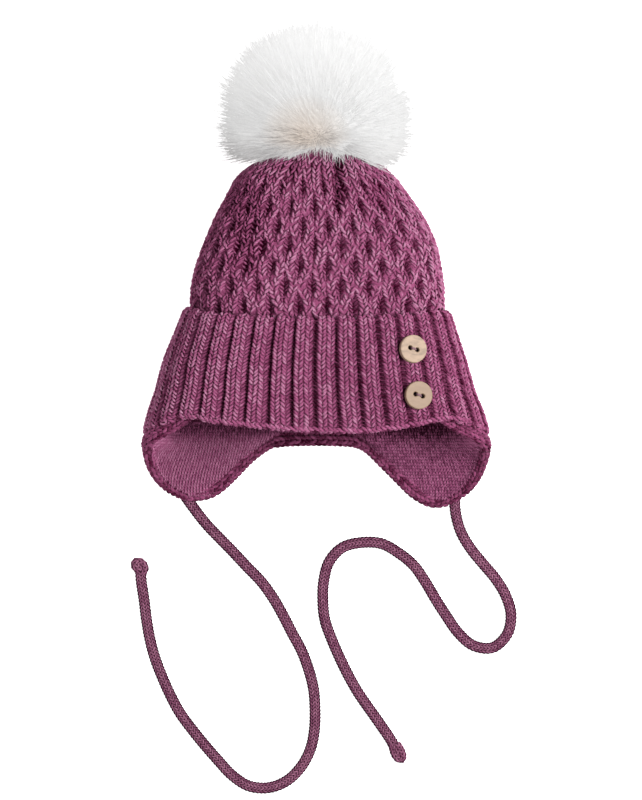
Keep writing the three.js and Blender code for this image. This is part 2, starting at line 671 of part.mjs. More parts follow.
function tieSolids(route, side) {
  const height = tie.diameter / 2;
  const points = route.map(([x, y]) => new THREE.Vector3(x, y, height));
  const path = new THREE.CatmullRomCurve3(points, false, 'centripetal');
  const outline = new THREE.Shape();
  outline.absarc(0, 0, height, 0, 2 * Math.PI, false);
  const tube = toManifold(new THREE.ExtrudeGeometry(outline, {
    steps: tie.steps, curveSegments: tie.sides / 2, bevelEnabled: false, extrudePath: path,
  }));
  const end = points[points.length - 1];
  const heading = end.clone().sub(points[points.length - 2]).normalize();
  const knotAt = end.clone().addScaledVector(heading, knots.ring + 0.4);
  knotAt.z = knots.ring + knots.tube + 0.05;
  const turn = Math.atan2(heading.y, heading.x);
  const knot = knotSolid(knotAt, turn);
  const blunt = new THREE.SphereGeometry(knots.ring + knots.tube + gap, 8, 6);
  blunt.translate(knotAt.x, knotAt.y, knotAt.z);
  const band = toManifold(bandGeometry(side, border.fromAround, border.toAround, border.steps, gap));
  return { tube: largestPiece(tube.subtract(band).subtract(toManifold(blunt))), knot };
}

const yarn = { color: 0x9b507d, roughness: 0.95, metalness: 0 };
const hat = new THREE.Group();

function place(name, geometry, finish, parent = hat) {
  const mesh = new THREE.Mesh(geometry, new THREE.MeshStandardMaterial(finish));
  mesh.name = name;
  parent.add(mesh);
  return mesh;
}

place('crown', crownGeometry(), yarn);
place('lining', toGeometry(liningSolid()), { ...yarn, color: 0x8d4871 });
place('cuff', cuffGeometry(), { ...yarn, color: 0xa2567f });
place('back_hem', toGeometry(backHem()), yarn);
for (const [name, side, route] of [['left', -1, leftTieRoute], ['right', 1, rightTieRoute]]) {
  place(`earflap_${name}`, toGeometry(earflap(side)), yarn);
  place(`flap_border_${name}`, toGeometry(flapBorder(side)), yarn);
  const { tube, knot } = tieSolids(route, side);
  place(`tie_${name}`, toGeometry(tube), yarn);
  place(`knot_${name}`, toGeometry(knot), yarn);
}
place('pompom', toGeometry(furBall()), { color: 0xf4f0ec, roughness: 1, metalness: 0 });

for (const spot of buttonPlaces) {
  const { at, out } = brimPlace(spot.x, spot.y);
  const seat = new THREE.Group();
  seat.position.copy(at).addScaledVector(out, button.lift);
  seat.quaternion.setFromUnitVectors(new THREE.Vector3(0, 0, 1), out);
  hat.add(seat);
  const turned = new THREE.Group();
  turned.rotation.z = THREE.MathUtils.degToRad(button.holeTilt);
  seat.add(turned);
  place(`button_${spot.name}`, buttonGeometry(), { color: 0xd8b896, roughness: 0.6, metalness: 0 }, turned);
  place(`button_thread_${spot.name}`, threadGeometry(), yarn, turned);
}

export default hat;
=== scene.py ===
import math

import bpy
import numpy as np
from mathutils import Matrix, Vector


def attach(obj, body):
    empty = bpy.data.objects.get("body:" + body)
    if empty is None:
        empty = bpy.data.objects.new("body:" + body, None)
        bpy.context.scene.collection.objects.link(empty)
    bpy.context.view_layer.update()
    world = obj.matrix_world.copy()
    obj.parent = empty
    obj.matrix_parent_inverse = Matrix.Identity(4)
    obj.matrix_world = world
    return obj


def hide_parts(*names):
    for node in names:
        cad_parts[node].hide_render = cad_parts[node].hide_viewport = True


# Knit baby hat on its back: honeycomb-knit crown, ribbed turned-up brim, lined earflaps with ties, fur pompom.
# Sizes are in millimetres and turned into metres when a mesh is made. "around" is the angle round the hat in
# degrees, 0 at the middle of the front. "share" is the same place as a part of the girth, -0.5 to 0.5.
mm = 0.001
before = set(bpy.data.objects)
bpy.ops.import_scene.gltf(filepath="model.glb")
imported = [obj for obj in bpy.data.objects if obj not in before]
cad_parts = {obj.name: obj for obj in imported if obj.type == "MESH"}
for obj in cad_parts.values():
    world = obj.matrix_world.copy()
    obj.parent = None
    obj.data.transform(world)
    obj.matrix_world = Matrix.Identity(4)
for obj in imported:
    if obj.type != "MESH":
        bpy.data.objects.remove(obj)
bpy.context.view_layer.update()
draw = np.random.default_rng(11)

# camera, floor and light

camera = {"x": 2.7, "y": -72.4, "height": 14000, "viewHeight": 428.8, "viewLevel": 45}
lights = {
    "key": {"at": (620, 30, 1000), "size": 460, "power": 21},
    "fill": {"at": (-560, -560, 900), "size": 800, "power": 4},
    "aim": (0, -20, 40), "world": 0.43, "floorGlow": 0.85,
}
floorSheet = {"half": 3000, "drop": 0.2}


def newObject(name, data):
    thing = bpy.data.objects.new(name, data)
    bpy.context.scene.collection.objects.link(thing)
    return thing


def newMaterial(name):
    # a material, a function that adds a node and gives one of its outputs, and one that fills in its shader
    material = bpy.data.materials.new(name)
    material.use_nodes = True
    tree = material.node_tree

    def fill(node, inputs):
        for key, value in inputs.items():
            if isinstance(value, bpy.types.NodeSocket):
                tree.links.new(value, node.inputs[key])
            else:
                node.inputs[key].default_value = value

    def add(kind, inputs, output=0, **settings):
        node = tree.nodes.new(f"ShaderNode{kind}")
        for key, value in settings.items():
            setattr(node, key, value)
        fill(node, inputs)
        return node.outputs[output]

    return material, add, lambda inputs: fill(tree.nodes["Principled BSDF"], inputs)


def makeCamera():
    data = bpy.data.cameras.new("camera")
    data.lens = data.sensor_width * (camera["height"] - camera["viewLevel"]) / camera["viewHeight"]
    data.clip_end = 30
    eye = newObject("camera", data)
    eye.location = Vector((camera["x"], camera["y"], camera["height"])) * mm  # straight down, +Y up in the picture
    bpy.context.scene.camera = eye


def makeLights():
    for name in ("key", "fill"):
        each = lights[name]
        data = bpy.data.lights.new(name, "AREA")
        data.size = each["size"] * mm
        data.energy = each["power"]
        lamp = newObject(name, data)
        lamp.location = Vector(each["at"]) * mm
        aim = Vector(lights["aim"]) * mm - lamp.location
        lamp.rotation_euler = aim.to_track_quat("-Z", "Y").to_euler()
    world = bpy.data.worlds.new("studio")
    world.use_nodes = True
    background = world.node_tree.nodes["Background"]
    background.inputs["Color"].default_value = (1, 1, 1, 1)
    background.inputs["Strength"].default_value = lights["world"]
    bpy.context.scene.world = world
    bpy.context.scene.view_settings.view_transform = "Standard"


def makeFloor():
    size = floorSheet["half"] * mm
    mesh = bpy.data.meshes.new("floor")
    mesh.from_pydata([(-size, -size, 0), (size, -size, 0), (size, size, 0), (-size, size, 0)], [], [(0, 1, 2, 3)])
    paper, _, setShader = newMaterial("white_paper")
    setShader({"Base Color": (0.93, 0.93, 0.93, 1), "Roughness": 0.9, "Emission Color": (1, 1, 1, 1),
               "Emission Strength": lights["floorGlow"]})
    mesh.materials.append(paper)
    floor = newObject("floor", mesh)
    floor.location.z = -floorSheet["drop"] * mm


makeCamera()
makeLights()
makeFloor()
print("camera, lights and floor made")

# yarns


def ramp(add, level, *stops):
    # colours by level: the stops at the two ends first, then those between them
    colour = add("ValToRGB", {"Fac": level})
    elements = colour.node.color_ramp.elements
    for k, (position, shade) in enumerate(stops):
        element = elements[k] if k < 2 else elements.new(position)
        element.position = position
        element.color = (*shade, 1)
    return colour


def mapRange(add, value, *ends):
    return add("MapRange", {"Value": value, **dict(zip(("From Min", "From Max", "To Min", "To Max"), ends))})


def mixColours(add, factor, first, second, blend):
    return add("Mix", {"Factor": factor, 6: first, 7: second}, 2, data_type="RGBA", blend_type=blend)


def yarn(name, deep, middle, bright, fuzz=1.0):
    # colour runs from deep to bright by the tone kept on each stitch, which holds random differences and also painted
    # shade and light
    material, add, setShader = newMaterial(name)
    place = add("TexCoord", {}, "Object")
    level = add("Attribute", {}, "Fac", attribute_name="tone")
    fibres = add("TexNoise", {"Vector": place, "Scale": 1150, "Detail": 3, "Roughness": 0.65})
    patches = add("TexNoise", {"Vector": place, "Scale": 38, "Detail": 2})
    for noise, strength in ((fibres, 0.85), (patches, 0.16)):
        change = add("Math", {0: noise, 1: 0.5}, operation="SUBTRACT")
        level = add("Math", {0: change, 1: strength, 2: level}, operation="MULTIPLY_ADD")
    setShader({
        "Base Color": ramp(add, level, (0, deep), (1, bright), (0.5, middle)),
        "Normal": add("Bump", {"Height": fibres, "Strength": 0.5 * fuzz, "Distance": 0.0004}),
        "Roughness": 0.88, "Specular IOR Level": 0.01, "Sheen Weight": 0.03, "Sheen Roughness": 0.5,
        "Sheen Tint": (0.85, 0.5, 0.7, 1),
    })
    return material


yarnShades = {"deep": (0.038, 0.001, 0.012), "middle": (0.245, 0.062, 0.138), "bright": (0.44, 0.23, 0.33)}
crownYarn = yarn("mauve_crown_yarn", **yarnShades)
ribYarn = yarn("mauve_rib_yarn", **yarnShades)
liningYarn = yarn("fine_lining_yarn", (0.036, 0.004, 0.015), (0.27, 0.072, 0.157), (0.44, 0.175, 0.29), 0.6)
edgeYarn = yarn("border_yarn", **yarnShades)
cordYarn = yarn("cord_yarn", (0.022, 0.003, 0.010), (0.135, 0.038, 0.080), (0.27, 0.11, 0.175))

# the hat's surfaces, from the same named sizes as the solids


def table(names, *rows):
    return {name: np.array(column, float) for name, column in zip(names.split(), zip(*rows))}


crownRows = table(
    "y halfWidth middle top floor",
    (-18, 68, 0.8, 80.5, 2.4), (-12, 67.8, 0.9, 80.7, 0.6), (-2, 66.2, 1.2, 80.3, 0), (12, 62, 2.1, 79, 0),
    (26, 55.8, 1.8, 76.5, 0), (38, 48.5, 0.8, 73, 2), (47, 42.5, 0, 69, 5), (54, 34, 0.5, 64, 10),
    (60, 22, 2.5, 56, 18), (63, 12, 4, 50, 26))
brimRows = table(
    "y halfWidth middle top floor",
    (-130, 93.8, 0, 86, 0), (-94, 93.4, 0.2, 87.5, 0), (-80, 90.4, -0.1, 88.4, 0), (-68, 86, -0.5, 88.6, 0),
    (-51, 81.2, -0.6, 88, 0), (-34, 75, 0, 86.6, 0), (-26, 72.2, 0.3, 85.6, 0), (-20, 70.4, 0.6, 84.4, 0))
cuffBottom = table(
    "around y", (-180, -90), (-130, -91.5), (-90, -91.5), (-70, -87.4), (-47, -82.4), (-33, -84.7), (-18, -87),
    (0, -89.8), (12, -90), (28, -87.2), (48, -83.6), (70, -88.2), (90, -91.5), (130, -91.5), (180, -90))
leftEdge = table(
    "around y", (40, -80), (47, -82.2), (58, -88.4), (70, -94.3), (90, -100), (106, -110.5), (118, -118),
    (130, -123.5), (140, -126.4), (147, -126.4), (153, -124.6), (158, -120.4), (163, -113.6), (168, -105.4),
    (171.5, -100.4), (174.5, -97.4), (180, -97))
rightEdge = table(
    "around y", (40, -81.5), (48, -83.8), (56, -88.2), (68, -94), (90, -101), (102, -108), (112, -115.5),
    (122, -122), (133, -127), (141, -130), (147, -130), (152, -127.8), (157, -123.8), (162, -117.2),
    (168, -107.8), (172, -100.6), (174.5, -98), (180, -97))
section = {"waist": 0.47, "frontPower": 2.6, "backPower": 3.2, "sink": 3}
crown = {
    "wall": 3.5, "wales": 48, "holeShift": 0.58, "holeRow": 10.7, "firstHoleY": -22.5, "holeDepth": 2.3,
    "gatherDepth": 1.1, "plainFromY": 42, "gatheredFromY": 50, "pinchFromY": -21.5,
    "pinchToY": -26.5, "endY": -79.85, "pole": (4, 64.5, 38), "innerPole": (4, 57.5, 38),
}
crownFolds = (
    {"x": 12.5, "fromY": 66, "toY": 27, "width": 2.6, "depth": 5.6},
    {"x": -14, "fromY": 64, "toY": 38, "width": 3.4, "depth": 2.2},
    {"x": 33, "fromY": 58, "toY": 24, "width": 5, "depth": 1.4},
    {"x": -38, "fromY": 40, "toY": -10, "width": 9, "depth": 1.5},
)
cuff = {
    "thickness": 6.4, "tuck": 7.7, "ribs": 36, "topY": -22.6, "foldY": -90, "topSag": 4.6, "rightDrop": 1.8, "rows": 27,
}
flap = {"wall": 3.2, "topY": -80.15, "shortestFlare": 6, "flareTo": 0.5, "fromAround": 55}
border = {
    "width": 7.2, "thickness": 6.2, "fromAround": 48, "toAround": 174.5, "tuck": 5, "tuckFrom": 54, "tuckTo": 72,
}
lining = {"wall": 1.8, "gap": 0.6, "topY": -45, "frontY": -83}


def smoothStep(low, high, value):
    t = np.clip((value - low) / (high - low), 0, 1)
    return t * t * (3 - 2 * t)


def unit(vectors):
    return vectors / (np.linalg.norm(vectors, axis=-1, keepdims=True) + 1e-9)


def arcLength(path):
    return np.concatenate([[0], np.cumsum(np.linalg.norm(np.diff(path, axis=0), axis=1))])


def hermite(t, a, b, slopeA, slopeB):
    # smooth curve from a to b with a slope at each end
    return ((2 * t**3 - 3 * t**2 + 1) * a + (t**3 - 2 * t**2 + t) * slopeA
            + (3 * t**2 - 2 * t**3) * b + (t**3 - t**2) * slopeB)


def along(rows, key, column, value):
    # smooth curve through one column of a table against another
    k, v = rows[key], rows[column]
    value = np.clip(value, k[0], k[-1])
    i = np.clip(np.searchsorted(k, value, "right") - 1, 0, len(k) - 2)
    before, after = np.maximum(i - 1, 0), np.minimum(i + 2, len(k) - 1)
    span = k[i + 1] - k[i]
    slopeA = (v[i + 1] - v[before]) / (k[i + 1] - k[before]) * span
    slopeB = (v[after] - v[i]) / (k[after] - k[i]) * span
    return hermite((value - k[i]) / span, v[i], v[i + 1], slopeA, slopeB)


def rowAt(rows, y):
    row = {name: along(rows, "y", name, y) for name in ("halfWidth", "middle", "top", "floor")}
    row["floor"] = np.maximum(row["floor"], 0)
    row["y"] = y
    return row


def moved(row, offset):
    return {"y": row["y"], "middle": row["middle"], "halfWidth": row["halfWidth"] + offset,
            "top": row["top"] + offset, "floor": row["floor"] - offset}


def sectionPoint(row, around, offset):
    angle = np.radians(around)
    across, up = np.sin(angle), np.cos(angle)
    power = 2 / np.where(up >= 0, section["frontPower"], section["backPower"])
    waist = row["floor"] + (row["top"] - row["floor"]) * section["waist"]
    x = row["middle"] + (row["halfWidth"] + offset) * np.sign(across) * np.abs(across) ** power
    reach = np.where(up >= 0, row["top"] - waist, waist - row["floor"] + section["sink"])
    z = waist + (reach + offset) * np.sign(up) * np.abs(up) ** power
    z = np.maximum(z, row["floor"] - offset)
    return np.stack(np.broadcast_arrays(x, row["y"] + 0 * x, z), -1)


def insetEdge(rows, side, distance):
    # level that lies a distance inside the loose edge
    y, ahead, behind = along(rows, "around", "y", side), np.minimum(side + 1, 180), side - 1
    rise = along(rows, "around", "y", ahead) - along(rows, "around", "y", behind)
    row = rowAt(brimRows, y)
    run = np.linalg.norm(sectionPoint(row, ahead, 0) - sectionPoint(row, behind, 0), axis=-1)
    return y + distance * np.sqrt(1 + (rise / run) ** 2)


def skirtEnd(around):
    # lower edge of the lining and flaps: inside the brim in front, at the middle of the border round the flaps
    side = np.abs(around)
    edge = np.where(around < 0, *[insetEdge(rows, side, border["width"] / 2) for rows in (leftEdge, rightEdge)])
    return np.where(side < border["fromAround"], lining["frontY"], np.minimum(edge, lining["frontY"]))


def cuffSag(around):
    # the cuff's top edge hangs lower at the middle of the front, and a little at the right side
    aside = smoothStep(50, 82, around) * smoothStep(145, 112, around)
    return cuff["topSag"] * np.maximum(0, np.cos(np.radians(around))) ** 2 + cuff["rightDrop"] * aside


def bodyRow(y, around):
    # the crown, then its band under the brim, then the flared earflaps
    y, around = np.broadcast_arrays(np.asarray(y, float), np.asarray(around, float))
    under = moved(rowAt(brimRows, y), -cuff["tuck"])
    bottom = along(cuffBottom, "around", "y", around)
    run = np.maximum(bottom - skirtEnd(around), flap["shortestFlare"])
    flare = smoothStep(0, 1, (bottom - y) / run) * (y < flap["topY"])
    under = moved(under, flare * (cuff["tuck"] - flap["flareTo"]))
    # the crown draws in where the cuff's sagging top edge covers it
    sag = cuffSag(around)
    blend = smoothStep(crown["pinchFromY"], crown["pinchToY"], y + sag)
    shell = rowAt(crownRows, np.maximum(y, crown["pinchFromY"] - sag))
    row = {name: shell[name] * (1 - blend) + under[name] * blend for name in ("halfWidth", "middle", "top", "floor")}
    row["y"] = y
    return row


def girth(rowOf, lowY, highY, levels=110, places=721, steps=361):
    # two functions of a height along the hat: angle for a share of the girth, and the girth itself
    ys, shares, angles = np.linspace(lowY, highY, levels), np.linspace(-0.5, 0.5, places), np.linspace(-180, 180, steps)
    angleTable, lengths = [], []
    for y in ys:
        reach = arcLength(sectionPoint(rowOf(np.full(steps, y)), angles, 0))
        half = reach[steps // 2]
        share = np.where(reach <= half, reach / half * 0.5 - 0.5, (reach - half) / (reach[-1] - half) * 0.5)
        angleTable.append(np.interp(shares, share, angles))
        lengths.append(reach[-1])
    angleTable = np.array(angleTable)

    def angleAt(y, share):
        # between the four nearest entries of the table
        share = (np.asarray(share) + 0.5) % 1 - 0.5
        row = np.clip((y - lowY) / (highY - lowY) * (levels - 1), 0, levels - 1.001)
        column = np.clip((share + 0.5) * (places - 1), 0, places - 1.001)
        r, c = row.astype(int), column.astype(int)
        fr, fc = row - r, column - c
        low, high = [angleTable[k, c] * (1 - fc) + angleTable[k, c + 1] * fc for k in (r, r + 1)]
        return low * (1 - fr) + high * fr

    return angleAt, lambda y: np.interp(y, ys, lengths)


bodyAngle, bodyGirth = girth(lambda y: bodyRow(y, 0), -82, 63)
brimAngle = girth(lambda y: rowAt(brimRows, y), -130, -20)[0]
print("surfaces worked out")

# meshes from numpy arrays


def gridPart(points, tone, loopRows=False, loopColumns=True):
    # closed or open sheet through a grid of points
    rows, columns = points.shape[:2]
    index = np.arange(rows * columns).reshape(rows, columns)
    if loopRows:
        index = np.vstack([index, index[:1]])
    if loopColumns:
        index = np.hstack([index, index[:, :1]])
    faces = np.stack([index[:-1, :-1], index[:-1, 1:], index[1:, 1:], index[1:, :-1]], -1).reshape(-1, 4)
    return {"points": points.reshape(-1, 3), "faces": faces.tolist(),
            "tone": np.broadcast_to(tone, (rows, columns)).ravel()}


def vary(amount, *shape):
    return draw.uniform(-amount, amount, shape)


def grid(first, second):
    return np.meshgrid(first, second, indexing="ij")


def capPart(ring, tone, flip=False):
    # fan of faces from a ring to its middle
    n = len(ring)
    order = [(i, (i + 1) % n, n) for i in range(n)]
    if flip:
        order = [face[::-1] for face in order]
    return {"points": np.vstack([ring, ring.mean(0)]), "faces": order, "tone": np.full(n + 1, tone)}


def strandPart(lines, outs, across, deep, tone, sides=4):
    # many short yarn strands: lines and outs are (strands, steps, 3), across and deep half sizes at each step
    tangent = unit(np.gradient(lines, axis=1))
    side = unit(np.cross(outs, tangent))
    up = np.cross(tangent, side)
    count, steps = lines.shape[:2]
    turn = 2 * np.pi * np.arange(sides) / sides
    across = np.broadcast_to(across, (count, steps))[..., None, None] * np.cos(turn)[:, None]
    deep = np.broadcast_to(deep, (count, steps))[..., None, None] * np.sin(turn)[:, None]
    rings = lines[:, :, None] + side[:, :, None] * across + up[:, :, None] * deep
    base = (np.arange(count) * steps * sides)[:, None, None]
    k, s = grid(np.arange(steps - 1), np.arange(sides))
    near, far = k * sides + s, k * sides + (s + 1) % sides
    quads = np.stack([near + sides, far + sides, far, near], -1).reshape(1, -1, 4)
    faces = (base + quads).reshape(-1, 4).tolist()
    start = (base[:, 0] + np.arange(sides)).tolist()
    end = (base[:, 0] + (steps - 1) * sides + np.arange(sides)[::-1]).tolist()
    shade = np.asarray(tone, float)
    shade = np.broadcast_to(shade[:, None] if shade.ndim == 1 else shade, (count, steps))
    return {"points": rings.reshape(-1, 3), "faces": faces + start + end, "tone": np.repeat(shade.ravel(), sides)}


def makePiece(name, parts, material, nodes):
    points = np.concatenate([part["points"] for part in parts]) * mm
    points[:, 2] = np.maximum(points[:, 2], 0)
    faces, first = [], 0
    for part in parts:
        faces += [[first + i for i in face] for face in part["faces"]] if first else part["faces"]
        first += len(part["points"])
    mesh = bpy.data.meshes.new(name)
    mesh.from_pydata(points.tolist(), [], faces)
    shade = mesh.attributes.new("tone", "FLOAT", "POINT")
    shade.data.foreach_set("value", np.concatenate([part["tone"] for part in parts]).astype(np.float32))
    mesh.polygons.foreach_set("use_smooth", np.ones(len(mesh.polygons), bool))
    mesh.materials.append(material)
    mesh.update()
    piece = newObject(name, mesh)
    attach(piece, "root")
    if nodes:
        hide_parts(*nodes)
    print(f"{name}: {sum(len(face) - 2 for face in faces)} triangles")
    return piece


def makeKnit(node, parts, material):
    # the piece that dresses one node and is named after it
    return makePiece(f"{node}_knit", parts, material, [node])


def strandsOn(surface, u, v, lift, across, deep, plump, tone, sides=4):
    # strands that lie on a surface function of (u, v, lift)
    lines = surface(u, v, lift)
    return strandPart(lines, unit(surface(u, v, lift + 0.4) - lines), across * plump, deep * plump, tone, sides)


def legShape(steps):
    # a leg of a stitch is thin where it dips under its neighbour and plump in the middle
    t = np.linspace(0, 1, steps)
    return t, 0.55 + 0.45 * np.sin(np.pi * (0.1 + 0.8 * t))


def knitTube(path, side, up, halfSide, halfUp, columns, rowLength, yarnHalf, core, tone, sink, uneven, bulge, steps=4,
             lean=(0.08, 0.36), outerShade=0.0):
    # a knitted cord or band: columns of small stitches run along it, over a core coloured deep as painted shade in the
    # gaps between them
    reach = arcLength(path)
    # rows are longer where the line runs steeply down, as the loose edge is there
    steep = np.abs(np.gradient(path[:, 2], reach))
    pace = 1 / (1 + 1.6 * smoothStep(0.45, 0.95, steep))
    counted = np.concatenate([[0], np.cumsum(np.diff(reach) * (pace[1:] + pace[:-1]) / 2)]) / rowLength
    rows = int(round(counted[-1]))
    counted *= rows / counted[-1]

    def surface(u, v, lift):
        at = np.interp(v, counted, reach)
        centre, s, t = [np.stack([np.interp(at, reach, each[:, i]) for i in range(3)], -1) for each in (path, side, up)]
        turn = 2 * np.pi * u / columns
        beside, above = (halfSide + lift) * np.cos(turn), (halfUp + lift) * np.sin(turn)
        point = centre + s * beside[..., None] + t * above[..., None]
        point[..., 2] = np.maximum(point[..., 2], 0.15)
        return point

    u, v = [each.ravel() + 0.5 for each in grid(np.arange(columns), np.arange(rows))]
    t, plump = legShape(steps)
    parts = []
    for hand in (-1, 1):
        # painted shade on the columns that face outwards
        shades = tone + vary(uneven, len(u)) - outerShade * np.maximum(-np.cos(2 * np.pi * u / columns), 0)
        parts.append(strandsOn(surface, u[:, None] + hand * (lean[0] + lean[1] * t), v[:, None] - 0.55 + 1.3 * t,
                               -sink + bulge * np.sin(np.pi * t), yarnHalf, yarnHalf * 0.8, plump, shades))
    rings, turns = grid(np.linspace(0, rows, max(int(rows * 0.6), 26)), np.arange(10) / 10 * columns)
    inner = surface(turns, rings, -(1 - core) * min(halfSide, halfUp))
    parts.append(gridPart(inner, 0.0))
    for end in (0, -1):
        parts.append(capPart(inner[end], 0.0, flip=end == 0))
    return parts


# ties, before everything else

# sideShade and darkBelow, here and in the knot, set the painted shade down the cord's sides
tie = {
    "diameter": 6, "height": 3, "sideShade": 0.75, "darkBelow": (5.75, 4.3),
    "knit": {"columns": 6, "rowLength": 1.9, "yarnHalf": 0.48, "core": 0.9, "tone": 0.8, "sink": 0.4, "uneven": 0.2,
             "bulge": 0.3, "steps": 3, "lean": (0.01, 0.47)},
}
# Centre lines on the surface, from inside the flap's edge to the knot.
leftTieRoute = [
    (-71.5, -122.4), (-65.9, -130.2), (-59.3, -138.7), (-51.8, -146.6), (-44.3, -154.3), (-36.9, -162.2),
    (-29.4, -170), (-23.1, -178.7), (-17.7, -188.1), (-12.8, -197.7), (-7.7, -207.2), (-3.9, -217.4),
    (-1.3, -227.8), (-0.5, -238.6), (-0.8, -249.4), (-2.9, -259.9), (-7.9, -269.5), (-15.5, -277),
    (-25.5, -280.8), (-36.2, -279.8), (-45.2, -274), (-52.6, -266.1), (-59.7, -258), (-66.5, -249.6),
    (-72.9, -240.9), (-78.1, -231.4), (-82.5, -221.6), (-86.4, -211.5), (-89.2, -201.1), (-91.1, -190.4),
    (-92.4, -179.7), (-93.8, -170.5), (-94.3, -164.5),
]
rightTieRoute = [
    (74.6, -124.4), (75, -132.4), (77.7, -142.7), (83, -152), (89.7, -160.3), (96.6, -168.5),
    (102.1, -177.7), (104.9, -188.1), (102.7, -198.5), (95, -205.5), (84.5, -204.3), (76.4, -197.4),
    (70.2, -188.6), (64.4, -179.6), (58.9, -170.3), (52.8, -161.6), (44.6, -154.7), (35.2, -149.6),
    (24.6, -149), (14.3, -151.7), (7.1, -159.4), (4.2, -169.7), (3.7, -180.4), (4.9, -191), (8.5, -201.1),
    (12.8, -211), (17.5, -220.6), (22.8, -229.9), (28.9, -238.7), (35.1, -247.5), (39.8, -254.4),
    (42.2, -258.6),
]
# A knot's line from the cord's end: how far ahead, how far aside, and its height.
knot = {
    "left": {"ahead": (-1.5, 0.6, 2.0, 3.8, 5.4, 4.6, 2.4, 0.4), "aside": (0, -1.7, -2.1, -1.2, 1, 2.7, 2.2, -0.3)},
    "right": {"ahead": (-2.4, 0.6, 3.4, 6.2, 8.2, 6.2, 2.4, -1.2), "aside": (0, -0.6, -1.5, -1.3, 0, 1.1, 1.6, 1.1)},
    "height": (3.2, 3.2, 3.4, 3.8, 4.0, 4.4, 4.8, 4.6), "rounding": 6, "half": 2.6, "darkBelow": (5.6, 3.6),
    "knit": {"columns": 5, "rowLength": 1.9, "yarnHalf": 0.58, "core": 0.97, "tone": 0.74, "sink": 0.4, "uneven": 0.2,
             "bulge": 0.35, "lean": (0.02, 0.44)},
}


def smoothRoute(route, steps=400):
    # rounded line through the route's points, which keeps close to them
    points = np.array(route, float)
    knots = np.concatenate([[0], np.cumsum(np.sqrt(np.linalg.norm(np.diff(points, axis=0), axis=1)))])
    slopes = np.gradient(points, knots, axis=0)
    at = np.linspace(0, knots[-1], steps)
    i = np.clip(np.searchsorted(knots, at, "right") - 1, 0, len(knots) - 2)
    span = (knots[i + 1] - knots[i])[:, None]
    return hermite((at - knots[i])[:, None] / span, points[i], points[i + 1], span * slopes[i], span * slopes[i + 1])


def knitCord(path, half, look):
    # a round cord with painted shade down its sides, darkest towards the floor
    tangent = unit(np.gradient(path, axis=0))
    upward = unit(np.cross(np.cross(tangent, (0, 0, 1)), tangent))
    parts = knitTube(path, np.cross(upward, tangent), upward, half, half, **look["knit"])
    for part in parts:
        part["tone"] = part["tone"] - tie["sideShade"] * smoothStep(*look["darkBelow"], part["points"][:, 2])
    return parts


def makeTie(name, route):
    flat = smoothRoute(route)
    path = np.column_stack([flat, np.full(len(flat), tie["height"] + 0.1)])
    cord = makeKnit(f"tie_{name}", knitCord(path, tie["diameter"] / 2, tie), cordYarn)
    # the knot: the cord turns once round itself and its cut end is tucked in
    heading = unit(path[-1] - path[-2])
    sideways = np.cross((0, 0, 1), heading)
    even, window = knot["rounding"], 2 * knot["rounding"] + 1
    turns = []
    for each in (knot[name]["ahead"], knot[name]["aside"], knot["height"]):
        line = np.interp(np.linspace(0, 1, 60), np.linspace(0, 1, len(each)), each)
        turns.append(np.convolve(np.pad(line, even, "edge"), np.ones(window) / window, "valid")[:, None])
    ahead, aside, height = turns
    knotPath = (path[-1] + heading * ahead + sideways * aside) * (1, 1, 0) + height * (0, 0, 1)
    lump = makeKnit(f"knot_{name}", knitCord(knotPath, knot["half"], knot), cordYarn)
    length = float(arcLength(path)[-1])
    print(f"tie {name}: {length:.0f} mm long")


makeTie("left", leftTieRoute)
makeTie("right", rightTieRoute)

# the brim's turned-up cuff

# Each rib has two columns of V stitches. The right one slopes off under the next rib's upright edge.
# Pairs of numbers are for the left and the right leg of its V.
# Painted light and shade: the legs' ends are darker by the valleys and more so on the right of the hat, the whole cuff
# is lighter on the left, and the fabric in the valleys is darker, more so on the right.
cuffKnit = {
    "columns": ({"at": -0.225, "half": 0.22, "lighter": (0.04, 0.02), "darkEnd": (0.1, 0.1), "darkRight": (1.9, 0)},
                {"at": 0.215, "half": 0.225, "lighter": (0.04, -0.04), "darkEnd": (0.1, 0.35), "darkRight": (0, 0.6)}),
    "yarn": 0.75, "deep": 0.7, "barHalf": 0.5, "acrossPerRib": 10, "under": 0.95, "tone": 0.55, "uneven": 0.16,
    "fabric": 0.3, "valley": 0.08, "leftLighter": 0.14, "valleyShadeToRight": 0.6, "edgeLinks": 5, "edgeHalf": 0.85,
    "edgeTone": 0.48,
}
ribProfile = table(
    "u height", (-0.5, -3.4), (-0.468, -2.5), (-0.43, -0.8), (-0.38, -0.2), (-0.3, 0), (0.14, 0), (0.24, -0.3),
    (0.34, -1.1), (0.41, -2.2), (0.45, -3.3), (0.5, -3.6))


def cuffSurface(share, v, lift):
    # v counts rows of stitches from the top edge to the bottom fold, and goes on round both edges
    radius = cuff["thickness"] / 2
    part = np.clip(v / cuff["rows"], 0, 1)
    around = brimAngle(cuff["topY"] + (cuff["foldY"] - cuff["topY"]) * part, share)
    topY = cuff["topY"] - cuffSag(around) - radius
    length = topY - along(cuffBottom, "around", "y", around) - radius
    past = np.where(v < 0, -v, np.maximum(v - cuff["rows"], 0)) * length / cuff["rows"] / radius
    turn = np.minimum(past, np.pi)
    y = topY - length * part + np.where(v < 0, 1, -1) * (radius + lift) * np.sin(turn)
    offset = -radius + (radius + lift) * np.cos(turn)
    return sectionPoint(rowAt(brimRows, y), around, offset)


def ribHeight(u):
    # height of the knit across one rib, u from -0.5 to 0.5 of its pitch
    return np.interp((u + 0.5) % 1 - 0.5, ribProfile["u"], ribProfile["height"])


